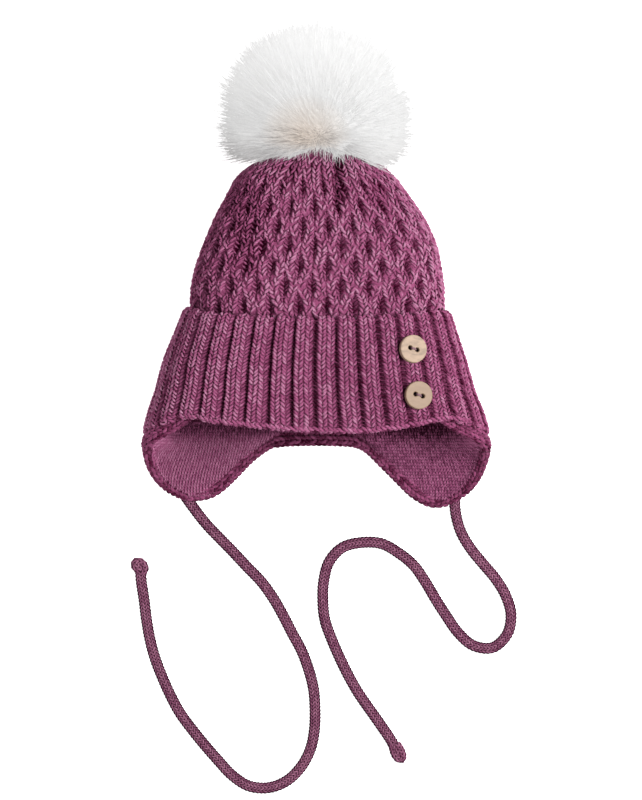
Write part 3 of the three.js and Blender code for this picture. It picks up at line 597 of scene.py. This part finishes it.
def makeCuff():
    ribs, rows, knit = cuff["ribs"], cuff["rows"], cuffKnit
    t, plump = legShape(4)
    parts = []

    def ribbed(u, v, lift):  # u counts ribs, with a valley at the middle of the front
        fade = smoothStep(-5.2, -3.4, v) * smoothStep(rows + 1.4, rows - 2.6, v)
        return cuffSurface((u + 0.5) / ribs, v, lift + ribHeight(u) * (0.2 + 0.8 * fade))

    rib, row = [each.reshape(-1, 1) for each in grid(np.arange(ribs) - ribs // 2, np.arange(-2, rows + 3) + 0.5)]
    wander = 0.012 * np.sin(rib * 2.1 + row * 0.45)
    place = np.clip((rib + 0.5) / ribs, -0.25, 0.25)
    for column in knit["columns"]:
        for leg, hand in enumerate((-1, 1)):
            across = hand * column["half"] * (0.1 + 0.8 * (1 - t) ** 0.9) + vary(0.012, len(rib), 1)
            down = -0.62 + 1.28 * t + vary(0.14, len(rib), 1)
            lift = -0.7 + 0.6 * np.sin(np.pi * t) ** 0.8 + vary(0.12, len(rib), 1)
            # painted shade and light: darker leg ends by the valleys, darker on the right of the hat, lighter on the
            # left
            shade = knit["tone"] + column["lighter"][leg] + vary(knit["uneven"], len(rib), 1)
            shade = shade - column["darkEnd"][leg] * (1 - t) - knit["leftLighter"] * place
            shade = shade - column["darkRight"][leg] * np.maximum(place, 0) * (1 - t)
            parts.append(strandsOn(ribbed, rib + column["at"] + wander + across, row + down, lift,
                                   knit["yarn"], knit["deep"], plump, shade))
    # the cast-off chain along the bottom fold
    u = ((np.arange(ribs * knit["edgeLinks"]) + 0.5) / knit["edgeLinks"] - ribs / 2)[:, None]
    down = (t - 0.5) * 1.1 + vary(0.25, len(u), 1)
    lift = 0.05 + 0.35 * np.sin(np.pi * t) - 0.9 * smoothStep(5, 7, np.abs(u))
    parts.append(strandsOn(ribbed, u + (t - 0.5) * 1.25 / knit["edgeLinks"], rows + 0.7 + down, lift,
                           knit["edgeHalf"], knit["deep"], plump, knit["edgeTone"] + vary(0.14, len(u))))
    # purl bars deep in the valleys, coloured dark as painted shade
    t3 = np.linspace(-1, 1, 3)
    parts.append(strandsOn(ribbed, rib + 0.5 + 0.13 * t3, row + 0.25 * t3, 0.15 - 0.25 * np.abs(t3),
                           knit["barHalf"], knit["barHalf"] * 0.8, 1, 0.1 + vary(0.1, len(rib))))
    # the fabric under the stitches: out over the ribs, round both edges and back inside
    edge = math.pi * cuff["thickness"] / 2 / 2.2
    down = (np.linspace(-edge, 0, 7), np.linspace(0, rows, 26)[1:], np.linspace(rows, rows + edge, 7)[1:])
    v, u = grid(np.concatenate(down), np.arange(ribs * knit["acrossPerRib"]) / knit["acrossPerRib"] - ribs / 2)
    # painted shade: the fabric is darker in the valleys, more so on the right of the hat
    sunk = smoothStep(-1.0, -2.8, ribHeight(u))
    valley = knit["valley"] - knit["valleyShadeToRight"] * np.clip(u / ribs, -0.25, 0.25)
    tone = knit["fabric"] + (valley - knit["fabric"]) * sunk
    parts.append(gridPart(ribbed(u, v, -knit["under"]), tone, loopRows=True))
    makeKnit("cuff", parts, ribYarn)


makeCuff()

# crown: zigzag columns of stitches round staggered holes

crownKnit = {
    "rowHeight": 2.3, "firstY": -31, "lastY": 60, "waleWidth": 4.8, "sway": 1.45, "legHalf": 0.77, "deep": 0.72,
    "edgeDrop": 1.0, "cellHalf": 0.6, "cellTones": {-1: 0.4, 1: 0.12}, "relief": 0.95, "around": 216, "rows": 54,
    "tone": 0.6, "foldShade": 0.09, "fabric": 0.36, "leftDarker": 0.14, "fabricTopY": 62.9, "under": 1.2,
}


def gatheredAt(y):
    return smoothStep(crown["plainFromY"], crown["gatheredFromY"], y)


def holeAt(share, y):
    column = 2 * np.pi * (share * crown["wales"] - crown["holeShift"]) / 2
    row = np.pi * (y - crown["firstHoleY"]) / crown["holeRow"]
    return np.maximum(0, np.cos(column) * np.cos(row))


def crownRelief(share, y, around, plain):
    # folds for everything on the crown, with the holes and gathers that only the fabric under it has
    covered = smoothStep(crown["pinchToY"] - cuff["topSag"], crown["pinchFromY"] - cuff["topSag"], y)
    gathered = gatheredAt(y)
    hole = holeAt(share, y) * crown["holeDepth"] * covered * (1 - gathered)
    gather = np.cos(np.pi * (share * crown["wales"] - crown["holeShift"])) ** 2 * crown["gatherDepth"] * gathered
    fold = np.zeros_like(hole)
    for each in crownFolds:
        across = np.exp(-(((plain[..., 0] - each["x"]) / each["width"]) ** 2))
        length = smoothStep(each["toY"], each["toY"] + 12, y) * smoothStep(each["fromY"] + 6, each["fromY"] - 2, y)
        fold = fold + each["depth"] * across * length * (np.abs(around) < 90)
    return hole + gather, fold


def foldDepth(share, y):
    around = bodyAngle(y, share)
    return crownRelief(share, y, around, sectionPoint(bodyRow(y, around), around, 0))[1]


def crownSurface(share, y, lift, textured=0.0):
    around = bodyAngle(y, share)
    row = bodyRow(y, around)
    plain = sectionPoint(row, around, 0)
    holes, folds = crownRelief(share, y, around, plain)
    pressed = smoothStep(0.5, 6, plain[..., 2])
    relief = np.minimum(holes * textured + folds, 6.5) * pressed
    point = sectionPoint(row, around, lift - relief)
    point[..., 2] = np.maximum(point[..., 2], 0.1)
    return point


def makeCrown():
    wales, knit = crown["wales"], crownKnit
    rowCount = int((knit["lastY"] - knit["firstY"]) / knit["rowHeight"])
    wale, row = [each.reshape(-1, 1) for each in grid(np.arange(wales), np.arange(rowCount))]
    y = knit["firstY"] + row * knit["rowHeight"]
    width = np.minimum(knit["waleWidth"], bodyGirth(y) / wales * (0.62 + 0.26 * gatheredAt(y)))

    def sway(at):  # how far a wale leans away from the open hole beside it, as a share of the girth
        fade = 1 - smoothStep(crown["plainFromY"] - 4, crown["gatheredFromY"], at)
        reach = np.minimum(knit["sway"], 0.19 * bodyGirth(at) / wales)
        return reach * fade * np.cos(np.pi * (at - crown["firstHoleY"]) / crown["holeRow"]) / bodyGirth(at)

    def cellFloor(share, y, lift):
        return crownSurface(share, y, lift, knit["relief"])

    centre = (wale + crown["holeShift"] + 0.5) / wales - 0.5
    # hole columns sit at even places where the front's middle counts as zero
    phase = np.where((wale - wales // 2) % 2 == 0, 1, -1)
    t, plump = legShape(4)
    parts = []
    drift = 0.4 * np.sin(wale * 1.7 + y * 0.21) + 0.3 * np.sin(wale * 0.9 - y * 0.31) + draw.normal(0, 0.2, y.shape)
    tilt = draw.normal(0, 0.27, y.shape)
    for hand in (-1, 1):
        yy = y + (-0.5 + 1.3 * t + vary(0.2, *y.shape) + hand * tilt) * knit["rowHeight"]
        across = hand * (0.06 + 0.45 * t ** 0.85) * width
        uu = centre + phase * sway(yy) + (across + drift + vary(0.22, *y.shape)) / bodyGirth(yy)
        lift = -0.7 + 0.75 * np.sin(np.pi * t) ** 0.8 + vary(0.4, *y.shape)
        lift = lift - knit["edgeDrop"] * (2 * across / width) ** 2
        thin = plump * (width / knit["waleWidth"]) ** 0.7 * draw.uniform(0.8, 1.18, y.shape)
        # painted shade: stitches darker in the folds and on the left of the hat
        shade = knit["tone"] + vary(0.15, *y.shape) - knit["foldShade"] * foldDepth(uu[:, 1:2], yy[:, 1:2])
        shade = shade - knit["leftDarker"] * smoothStep(-0.03, -0.2, centre)
        parts.append(strandsOn(crownSurface, uu, yy, lift, knit["legHalf"], knit["deep"], thin, shade))
    # stitches on the floor of each cell, their left legs lighter and right legs darker as painted light and shade
    cells = [((m + crown["holeShift"]) / wales - 0.5, crown["firstHoleY"] + k * crown["holeRow"])
             for k in range(8) for m in range(wales) if (m - wales // 2 + k) % 2 == 0]
    cellShare, cellY = np.array([cell for cell in cells if cell[1] < crown["plainFromY"] + 1]).T[..., None]
    t, plump = legShape(3)
    for step in np.arange(-3, 4) * knit["rowHeight"]:
        reach = (1.5 + 1.25 * np.cos(np.pi * step / crown["holeRow"])) * np.minimum(bodyGirth(cellY) / wales / 7.2, 1)
        for hand in (-1, 1):
            yy = cellY + step + (t - 0.5) * 2.2 + vary(0.5, *cellY.shape)
            uu = cellShare + hand * reach * (0.1 + 0.9 * t) / bodyGirth(yy)
            lift = -0.9 + 0.5 * np.sin(np.pi * t) + 0.2 * t + vary(0.2, *cellY.shape)
            parts.append(strandsOn(cellFloor, uu, yy, lift, knit["cellHalf"], knit["cellHalf"] * 0.8, plump,
                                   knit["cellTones"][hand] + vary(0.12, len(cellY))))
    # the fabric behind the stitches, closed over the top and back down inside
    levels = np.linspace(knit["firstY"], knit["fabricTopY"], knit["rows"] + 3)
    levels = np.concatenate([[crown["endY"], -50], levels])
    share = np.arange(knit["around"]) / knit["around"] - 0.5
    yy, ss = grid(levels, share)
    outer = cellFloor(ss, yy, -knit["under"])
    # painted shade: the fabric darkens in the holes and folds, and the inside is coloured deep
    fabric = knit["fabric"] - (knit["fabric"] - 0.04) * smoothStep(0.25, 0.8, holeAt(ss, yy))
    fabric = fabric - 2 * knit["foldShade"] * foldDepth(ss, yy)
    yy, ss = grid(np.linspace(knit["fabricTopY"] - 7, crown["endY"], 24), share)
    inner = crownSurface(ss, yy, -crown["wall"] - 0.1)
    top = np.tile(np.array(crown["pole"]) - (0, 1.2, 0), (1, len(share), 1))
    bottom = np.tile(np.array(crown["innerPole"], float), (1, len(share), 1))
    shell = np.concatenate([outer, top, bottom, inner])
    tone = np.zeros(shell.shape[:2])
    tone[:len(levels)] = fabric
    parts.append(gridPart(shell, tone, loopRows=True))
    makeKnit("crown", parts, crownYarn)


makeCrown()

# lining, earflaps and their borders

liningKnit = {
    "wales": 264, "rowHeight": 1.65, "fromY": -77, "toY": -128, "legHalf": 0.38, "deep": 0.36, "tone": 0.59,
    "around": 196, "fromAround": 40, "under": 1.4, "backLift": 5, "rimShade": 0.42, "rimY": (-97, -86),
    "leftLighter": 0.17,
}
liningFace = crown["wall"] + lining["gap"] + lining["wall"]


def liningSurface(share, y, lift):
    # lift goes inwards, towards the head
    around = bodyAngle(crown["endY"], share)
    return sectionPoint(bodyRow(y, around), around, -liningFace + 0.55 - lift)


def liningEnd(around):
    # the lining ends higher at the middle of the back, where only the hem shows
    return skirtEnd(around) + liningKnit["backLift"] * smoothStep(167, 173, np.abs(around))


def makeLining():
    knit = liningKnit
    share = np.arange(knit["around"]) / knit["around"] - 0.5
    around = bodyAngle(crown["endY"], share)
    y = lining["topY"] + (liningEnd(around) - knit["under"] - lining["topY"]) * np.linspace(0, 1, 28)[:, None]
    inner = liningSurface(share, y, -0.05)
    outer = sectionPoint(bodyRow(y, around), around, -crown["wall"] - lining["gap"])
    # the sheet under the stitches is coloured deep, as painted shade between the wales
    parts = [gridPart(np.concatenate([inner, outer[::-1]]), 0.05, loopRows=True)]
    rows = int((knit["fromY"] - knit["toY"]) / knit["rowHeight"])
    s, yy = [each.ravel() for each in grid((np.arange(knit["wales"]) + 0.5) / knit["wales"] - 0.5,
                                           knit["fromY"] - np.arange(rows) * knit["rowHeight"])]
    at = bodyAngle(crown["endY"], s)
    keep = (yy > liningEnd(at) - 1.2) & (np.abs(at) > knit["fromAround"])
    s, yy = s[keep][:, None], yy[keep][:, None]
    t, plump = legShape(3)
    for hand in (-1, 1):
        across = hand * (0.05 + 0.29 * t) / knit["wales"]
        rise = (-0.6 + 1.38 * t) * knit["rowHeight"]
        # painted light and shade: lighter on the left of the hat, darker under the brim's rim and at the legs' ends
        shade = knit["tone"] + vary(0.22, *s.shape) + hand * 0.06 - knit["leftLighter"] * 2 * s
        shade = shade - knit["rimShade"] * smoothStep(*knit["rimY"], yy) + (-0.06, 0.04, -0.06)
        parts.append(strandsOn(liningSurface, s + across, yy - rise, 0.05 + 0.3 * np.sin(np.pi * t),
                               knit["legHalf"], knit["deep"], plump, shade, sides=3))
    makeKnit("lining", parts, liningYarn)


makeLining()


def bandCentre(side, fromAround, toAround, steps):
    # centre line of the rolled border with its inward and outward directions
    rows = leftEdge if side < 0 else rightEdge

    def point(angle, offset):
        folded = np.minimum(angle, 360 - angle)
        return sectionPoint(rowAt(brimRows, along(rows, "around", "y", folded)), side * angle, offset)

    around = np.linspace(fromAround, toAround, steps)
    tucked = 1 - smoothStep(border["tuckFrom"], border["tuckTo"], around)
    depth = -border["thickness"] / 2 - border["tuck"] * tucked
    at = point(around, depth)
    tangent = unit(point(around + 0.5, depth) - point(around - 0.5, depth))
    inward = unit(np.cross(unit(point(around, 0) - at), tangent))
    turned = (inward[:, 1] < 0) | ((inward[:, 1] < 0.2) & (inward[:, 0] * side > 0))
    inward[turned] *= -1
    return at + inward * border["width"] / 2, inward, unit(np.cross(tangent, inward))


borderKnit = {
    "columns": 5, "rowLength": 2.9, "yarnHalf": 1.0, "core": 0.78, "sink": 0.9, "uneven": 0.18, "bulge": 0.7,
    "outerShade": 0.08,
}
sideBorder = {"fromAround": border["fromAround"], "toAround": border["toAround"], "steps": 160, "tone": 0.28}
# the hem is coloured darker than the side borders, as painted shade under the cuff
hem = {"fromAround": 174.2, "toAround": 185.8, "steps": 24, "tone": 0.22, "wider": 1.0, "taller": 1.2}


def makeBorder(node, side, fromAround, toAround, steps, tone, wider=0.0, taller=0.0):
    centre, inward, out = bandCentre(side, fromAround, toAround, steps)
    centre = centre + inward * wider + (0, 0, taller)
    parts = knitTube(centre, inward, out, border["width"] / 2 + wider, border["thickness"] / 2 + taller, tone=tone,
                     **borderKnit)
    makeKnit(node, parts, edgeYarn)


flapKnit = {
    "pitch": 4.4, "rowHeight": 2.5, "legHalf": 0.9, "deep": 0.6, "tone": 0.5, "around": 70, "rows": 16,
    "stitchRows": 20, "fabric": 0.2, "measuredAtY": -95, "under": 0.9,
}


def makeFlap(node, side):
    # outer knit of an earflap, from under the brim to its border
    knit, topY = flapKnit, flap["topY"]

    def surface(angle, y, lift):
        return sectionPoint(bodyRow(y, side * angle), side * angle, lift)

    angle = np.linspace(flap["fromAround"], border["toAround"] - 0.5, knit["around"])
    end = np.minimum(skirtEnd(side * angle), topY - 0.5)
    y = topY + (end - topY) * np.linspace(0, 1, knit["rows"])[:, None]
    loop = np.concatenate([surface(angle, y, -knit["under"]), surface(angle, y, -flap["wall"])[::-1]])
    parts = [gridPart(loop, knit["fabric"], loopRows=True, loopColumns=False)]
    for last in (0, -1):
        parts.append(capPart(loop[:, last], knit["fabric"], flip=last == -1))
    length = arcLength(surface(angle, knit["measuredAtY"], 0))
    column = np.interp((np.arange(int(length[-1] / knit["pitch"])) + 0.5) * knit["pitch"], length, angle)
    u, v = [each.ravel() for each in grid(column, topY - 2 - np.arange(knit["stitchRows"]) * knit["rowHeight"])]
    keep = v > skirtEnd(side * u) + 1.2
    u, v = u[keep][:, None], v[keep][:, None]
    scale = np.gradient(angle, length)[np.clip(np.searchsorted(angle, u), 0, len(angle) - 1)]
    t, plump = legShape(4)
    for hand in (-1, 1):
        across = hand * (0.1 + 0.36 * t) * knit["pitch"] * scale
        rise = (-0.55 + 1.3 * t) * knit["rowHeight"]
        parts.append(strandsOn(surface, u + across, v + rise, -0.8 + 0.5 * np.sin(np.pi * t),
                               knit["legHalf"], knit["deep"], plump, knit["tone"] + vary(0.12, len(u))))
    makeKnit(node, parts, edgeYarn)


for flapName, flapSide in (("left", -1), ("right", 1)):
    makeFlap(f"earflap_{flapName}", flapSide)
    makeBorder(f"flap_border_{flapName}", flapSide, **sideBorder)
makeBorder("back_hem", 1, **hem)

# fur pompom

pompom = {"root": (0.5, 68.5, 46), "centre": (0.3, 82.5, 46), "side": 55.1, "front": 46.5, "high": 51.2, "low": 34,
          "lowInFront": 20, "core": 0.82, "startAt": 0.55, "rootDepth": 16}
furPartings = (
    {"x": 47, "y": 100, "width": 6, "depth": 0.16},
    {"x": -50, "y": 84, "width": 8, "depth": 0.03},
    {"x": 12, "y": 130, "width": 9, "depth": 0.03},
    {"x": 24, "y": 56, "width": 8, "depth": 0.28},
    {"x": -32, "y": 51, "width": 13, "depth": 0.2},
)
fur = {
    "hairs": 11500, "tufts": 1800, "rootHalf": 0.21, "gather": 0.16, "bend": 3.2, "strays": 0.07, "tone": 0.6,
    "lowDark": 0.5, "leftDark": 0.15, "rimDark": 0.3, "partingDark": 1.05, "partingAt": (-8, 70),
    "partingSize": (24, 8),
}


def furMaterial():
    material, add, setShader = newMaterial("white_fur")
    tone = add("Attribute", {}, "Fac", attribute_name="tone")
    place = add("TexCoord", {}, "Object")
    noise = add("TexNoise", {"Vector": place, "Scale": 60, "Detail": 3})
    level = add("Math", {0: noise, 1: 0.3, 2: tone}, operation="MULTIPLY_ADD")
    greys = ramp(add, level, (0.1, (0.13, 0.126, 0.126)), (0.95, (0.25, 0.25, 0.25)), (0.5, (0.23, 0.229, 0.228)))
    # warm cream where the hairs part low in the middle
    apart = add("VectorMath", {0: place, 1: (-0.006, 0.066, 0.082)}, "Value", operation="DISTANCE")
    warm = mapRange(add, apart, 0.004, 0.026, 1, 0)
    tint = mixColours(add, warm, greys, (0.98, 0.87, 0.775, 1), "MULTIPLY")
    # painted light: the fur glows, most towards the top where the hairs stand free, in place of light that the pale
    # hairs pass on to each other
    paintedGlow = mapRange(add, add("SeparateXYZ", {"Vector": place}, "Y"), 0.08, 0.125, 2.06, 2.98)
    setShader({"Base Color": tint, "Emission Color": tint, "Emission Strength": paintedGlow, "Roughness": 0.55,
               "Specular IOR Level": 0.15})
    return material


furWhite = furMaterial()


def furReach(way):
    # from the middle of the pompom to its outside: round above, squarer below where hairs hang past the crown
    x, y, z = np.moveaxis(way, -1, 0)
    flat = (x / pompom["side"]) ** 2 + (z / pompom["front"]) ** 2
    facing = np.minimum(1.5 * z ** 2 / (x ** 2 + z ** 2 + 1e-9), 1)
    low = pompom["low"] + (pompom["lowInFront"] - pompom["low"]) * facing
    upper = 1 / np.sqrt(flat + (y / pompom["high"]) ** 2)
    lower = (flat ** 2 + (y / low) ** 4) ** -0.25
    reach = np.where(y >= 0, upper, lower)
    tip = np.array(pompom["centre"]) + way * reach[..., None]
    for dent in furPartings:
        apart = ((tip[..., 0] - dent["x"]) ** 2 + (tip[..., 1] - dent["y"]) ** 2) / dent["width"] ** 2
        reach = reach * (1 - dent["depth"] * np.exp(-apart))
    return reach


def spread(count, turn):
    # even directions over a ball
    k = np.arange(count) + 0.5
    z = 1 - 2 * k / count
    angle = np.pi * (3 - math.sqrt(5)) * k + turn
    flat = np.sqrt(1 - z * z)
    return np.column_stack([np.cos(angle) * flat, z, np.sin(angle) * flat])


def makeFur(name, reachLow, reachHigh, turn):
    tufts = spread(fur["tufts"], turn + 1)
    way = spread(fur["hairs"], turn)
    way = unit(way + draw.normal(0, 0.03, way.shape))
    near = np.argmax(way @ tufts.T, axis=1)
    tilted = unit(way + (tufts[near] - way) * fur["gather"] * draw.uniform(0.2, 1, (len(way), 1)))
    reach = draw.uniform(reachLow, reachHigh, len(way)) * draw.uniform(0.985, 1.015, len(tufts))[near]
    reach = np.where(draw.random(len(way)) < fur["strays"], reach * draw.uniform(1.04, 1.17, len(way)), reach)
    tip = np.array(pompom["centre"]) + tilted * (furReach(tilted) * reach)[:, None]
    # hairs fan out from a root that sits nearer the side they cover, so they lie along the ball
    root = np.array(pompom["root"]) + np.array((0, 0, pompom["rootDepth"])) * way[:, 2:]
    start = root + (tip - root) * pompom["startAt"]
    bend = draw.normal(0, 0.35, (len(way), 3)) * fur["bend"]
    bend += np.cross(tufts[near], (0.2, 0.3, 1)) * fur["bend"] * np.sin(near * 2.4)[:, None] * 0.6
    lines = np.stack([start, (start + tip) / 2 + bend * 0.5, tip], 1)
    lines[..., 2] = np.maximum(lines[..., 2], 0.4)
    outs = np.broadcast_to(way[:, None], lines.shape) + draw.normal(0, 0.5, (len(way), 1, 3))
    slim = fur["rootHalf"] * np.array([1.0, 0.9, 0.16])
    # painted shade: roots darker than tips, and hairs darker low down towards the crown, on the left and along the
    # outline
    shade = fur["tone"] + draw.uniform(-0.12, 0.14, (len(way), 1)) + (-0.2, 0, 0.1)
    x, y = lines[..., 0], lines[..., 1]
    low = smoothStep(78, 50, y) * (1 - 0.5 * smoothStep(8, 26, x))
    shade = shade - fur["lowDark"] * low - fur["leftDark"] * smoothStep(-5, -35, x)
    # single hairs are darker where the fur parts low in the middle
    parting = np.exp(-(((tip[:, :2] - fur["partingAt"]) / fur["partingSize"]) ** 2).sum(1))
    shade = shade - fur["partingDark"] * (parting * draw.random(len(way)) ** 2)[:, None]
    rim = np.hypot(x / pompom["side"], (y - pompom["centre"][1]) / pompom["high"])
    shade = shade - fur["rimDark"] * smoothStep(0.86, 1.02, rim)
    makePiece(name, [strandPart(lines, outs, slim, slim, shade, sides=3)], furWhite, [])


def makeFurCore():
    # soft ball inside that the hairs grow from
    theta, phi = grid(np.linspace(0.02, np.pi - 0.02, 60), np.arange(96) / 96 * 2 * np.pi)
    way = np.stack([np.sin(theta) * np.cos(phi), np.cos(theta), np.sin(theta) * np.sin(phi)], -1)
    lump = pompom["core"] + 0.012 * np.sin(way[..., 0] * 19 + 3 * way[..., 1]) * np.sin(way[..., 2] * 17 + 1.2)
    points = np.array(pompom["centre"]) + way * (furReach(way) * lump)[..., None]
    parts = [gridPart(points, 0.4)]
    for last in (0, -1):
        parts.append(capPart(points[last], 0.4, flip=last == -1))
    makePiece("fur_core", parts, furWhite, ["pompom"])


makeFurCore()
makeFur("fur_under", 0.89, 0.99, 0)
makeFur("fur_over", 0.91, 1.05, 2)

fringe = {"hairs": 260, "left": -36, "right": 30, "half": 0.14, "y": 61.5, "arch": 4, "pleatX": 11, "pleatExtra": 6}


def crownTop(x, y):
    row = rowAt(crownRows, y)
    waist = row["floor"] + (row["top"] - row["floor"]) * section["waist"]
    aside = np.minimum(np.abs(x - row["middle"]) / row["halfWidth"], 0.96)
    return waist + (row["top"] - waist) * (1 - aside ** section["frontPower"]) ** (1 / section["frontPower"])


def makeFringe():
    # loose hairs under the pompom that lie over the gathers, longest at the pleat
    x = draw.uniform(fringe["left"], fringe["right"], fringe["hairs"])
    y = fringe["y"] - fringe["arch"] * (x / 36) ** 2 + draw.normal(0, 0.6, len(x))
    longer = fringe["pleatExtra"] * np.exp(-((x - fringe["pleatX"]) / 4) ** 2)
    tipY = y - draw.uniform(0.5, 5.5, len(x)) - longer * draw.uniform(0.3, 1, len(x))
    tipX = x * 1.06 + draw.normal(0, 1.3, len(x))
    start = np.column_stack([x * 0.94, y + 3, crownTop(x * 0.94, y + 3) + 5])
    tip = np.column_stack([tipX, tipY, crownTop(tipX, tipY) + draw.uniform(0.7, 2.2, len(x))])
    lines = np.stack([start, (start + tip) / 2 + (0, 0, 1.5), tip], 1)
    outs = np.broadcast_to((0.0, 0.3, 1.0), lines.shape)
    slim = fringe["half"] * np.array([1.0, 0.9, 0.3])
    shade = 0.3 + vary(0.2, len(x))
    makePiece("fur_fringe", [strandPart(lines, outs, slim, slim, shade, sides=3)], furWhite, [])


makeFringe()

# wooden buttons and their thread

button = {
    "diameter": 15, "thickness": 3, "bevel": 0.5, "holeDiameter": 2.4, "holeSpacing": 4.1, "holeTilt": -15, "lift": 0.4,
}
buttonPlaces = {"upper": (51.2, -45.4), "lower": (54.2, -70)}
buttonThread = {"half": 0.34, "rise": 0.35, "apart": 0.3, "reach": 1.15, "dip": 2.4, "bundle": 1.3, "bundleZ": -1.1}


def woodMaterial():
    material, add, setShader = newMaterial("pale_beech")
    place = add("TexCoord", {}, "Object")
    stretched = add("Mapping", {"Vector": place, "Scale": (190, 430, 300), "Rotation": (0, 0, 0.3)})
    grain = add("TexNoise", {"Vector": stretched, "Scale": 1, "Detail": 4, "Distortion": 0.6})
    shades = ramp(add, grain, (0.3, (0.175, 0.122, 0.085)), (0.58, (0.295, 0.205, 0.142)))
    # the lower button is darker
    lower = mapRange(add, add("SeparateXYZ", {"Vector": place}, "Y"), -0.066, -0.05, 0.85, 0)
    setShader({"Base Color": mixColours(add, lower, shades, (0.19, 0.122, 0.076, 1), "MIX"),
               "Normal": add("Bump", {"Height": grain, "Strength": 0.25, "Distance": 0.0002}), "Roughness": 0.6})
    return material


wood = woodMaterial()
threadGrey = yarn("mauve_grey_thread", (0.006, 0.004, 0.005), (0.15, 0.085, 0.10), (0.25, 0.155, 0.175))


def circleSpline(curve, x, radius, points):
    spline = curve.splines.new("POLY")
    spline.points.add(points - 1)
    for k, point in enumerate(spline.points):
        turn = 2 * math.pi * k / points
        point.co = (x + radius * math.cos(turn), radius * math.sin(turn), 0, 1)
    spline.use_cyclic_u = True


def brimPlace(x, y):
    # place on the brim's front under a plan position, with the way it faces
    def at(y, around):
        return sectionPoint(rowAt(brimRows, y), around, 0)

    angles = np.linspace(0, 89, 4000)
    around = float(np.interp(x, at(y, angles)[:, 0], angles))
    out = np.cross(at(y - 2.0, around) - at(y + 2.0, around), at(y, around + 2) - at(y, around - 2))
    return Vector(at(y, around)), Vector(out).normalized()


def buttonBlank(name):
    # a disc with two holes, from a filled curve
    curve = bpy.data.curves.new("button", "CURVE")
    curve.dimensions = "2D"
    curve.fill_mode = "BOTH"
    curve.extrude = (button["thickness"] / 2 - button["bevel"]) * mm
    curve.bevel_depth = button["bevel"] * mm
    curve.bevel_resolution = 3
    circleSpline(curve, 0, (button["diameter"] / 2 - button["bevel"]) * mm, 64)
    hole = (button["holeDiameter"] / 2 + button["bevel"]) * mm
    for side in (-1, 1):
        circleSpline(curve, side * button["holeSpacing"] / 2 * mm, hole, 24)
    blank = newObject("button_blank", curve)
    mesh = bpy.data.meshes.new_from_object(blank.evaluated_get(bpy.context.evaluated_depsgraph_get()))
    bpy.data.objects.remove(blank)
    mesh.name = f"button_{name}_wood"
    mesh.materials.clear()
    mesh.materials.append(wood)
    return mesh


def makeButton(name, x, y):
    at, out = brimPlace(x, y)
    turn = Vector((0, 0, 1)).rotation_difference(out).to_matrix().to_4x4()
    tilt = math.radians(button["holeTilt"])
    cosine, sine = math.cos(tilt), math.sin(tilt)
    seat = at + out * (button["lift"] + button["thickness"] / 2)
    mesh = buttonBlank(name)
    for vertex in mesh.vertices:
        px, py, pz = vertex.co
        vertex.co = turn @ Vector((px * cosine - py * sine, px * sine + py * cosine, pz)) + seat * mm
    disc = newObject(mesh.name, mesh)
    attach(disc, "root")
    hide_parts(f"button_{name}")

    def placed(x, y, z):  # from the button's plane to the hat
        return np.array([(turn @ Vector(p) + seat)[:] for p in np.column_stack(np.broadcast_arrays(x, y, z))])

    # two passes of thread lie side by side between the holes
    t = np.linspace(-1, 1, 13)
    px = np.sin(t * np.pi / 2) * buttonThread["reach"]
    pz = button["thickness"] / 2 + buttonThread["rise"] - buttonThread["dip"] * smoothStep(0.6, 1, np.abs(t))
    lines = np.array([placed(px * cosine + aside * sine, px * sine + aside * cosine, pz)
                      for aside in (-buttonThread["apart"], buttonThread["apart"])])
    half, away = buttonThread["half"], np.array(out)
    parts = [strandPart(lines, np.broadcast_to(away, lines.shape), half, half, np.array([0.5, 0.6]), sides=8)]
    # thread bundled under each hole, coloured dark as painted shade in the hole
    angle = np.arange(16) / 16 * 2 * np.pi
    for side in (-1, 1):
        px = side * button["holeSpacing"] / 2 + buttonThread["bundle"] * np.cos(angle)
        py = buttonThread["bundle"] * np.sin(angle)
        ring = placed(px * cosine - py * sine, px * sine + py * cosine, buttonThread["bundleZ"])
        parts += [capPart(ring, -0.6), capPart(ring - away * 0.4, -0.6, flip=True)]
    makeKnit(f"button_thread_{name}", parts, threadGrey)


for buttonName, buttonPlace in buttonPlaces.items():
    makeButton(buttonName, *buttonPlace)
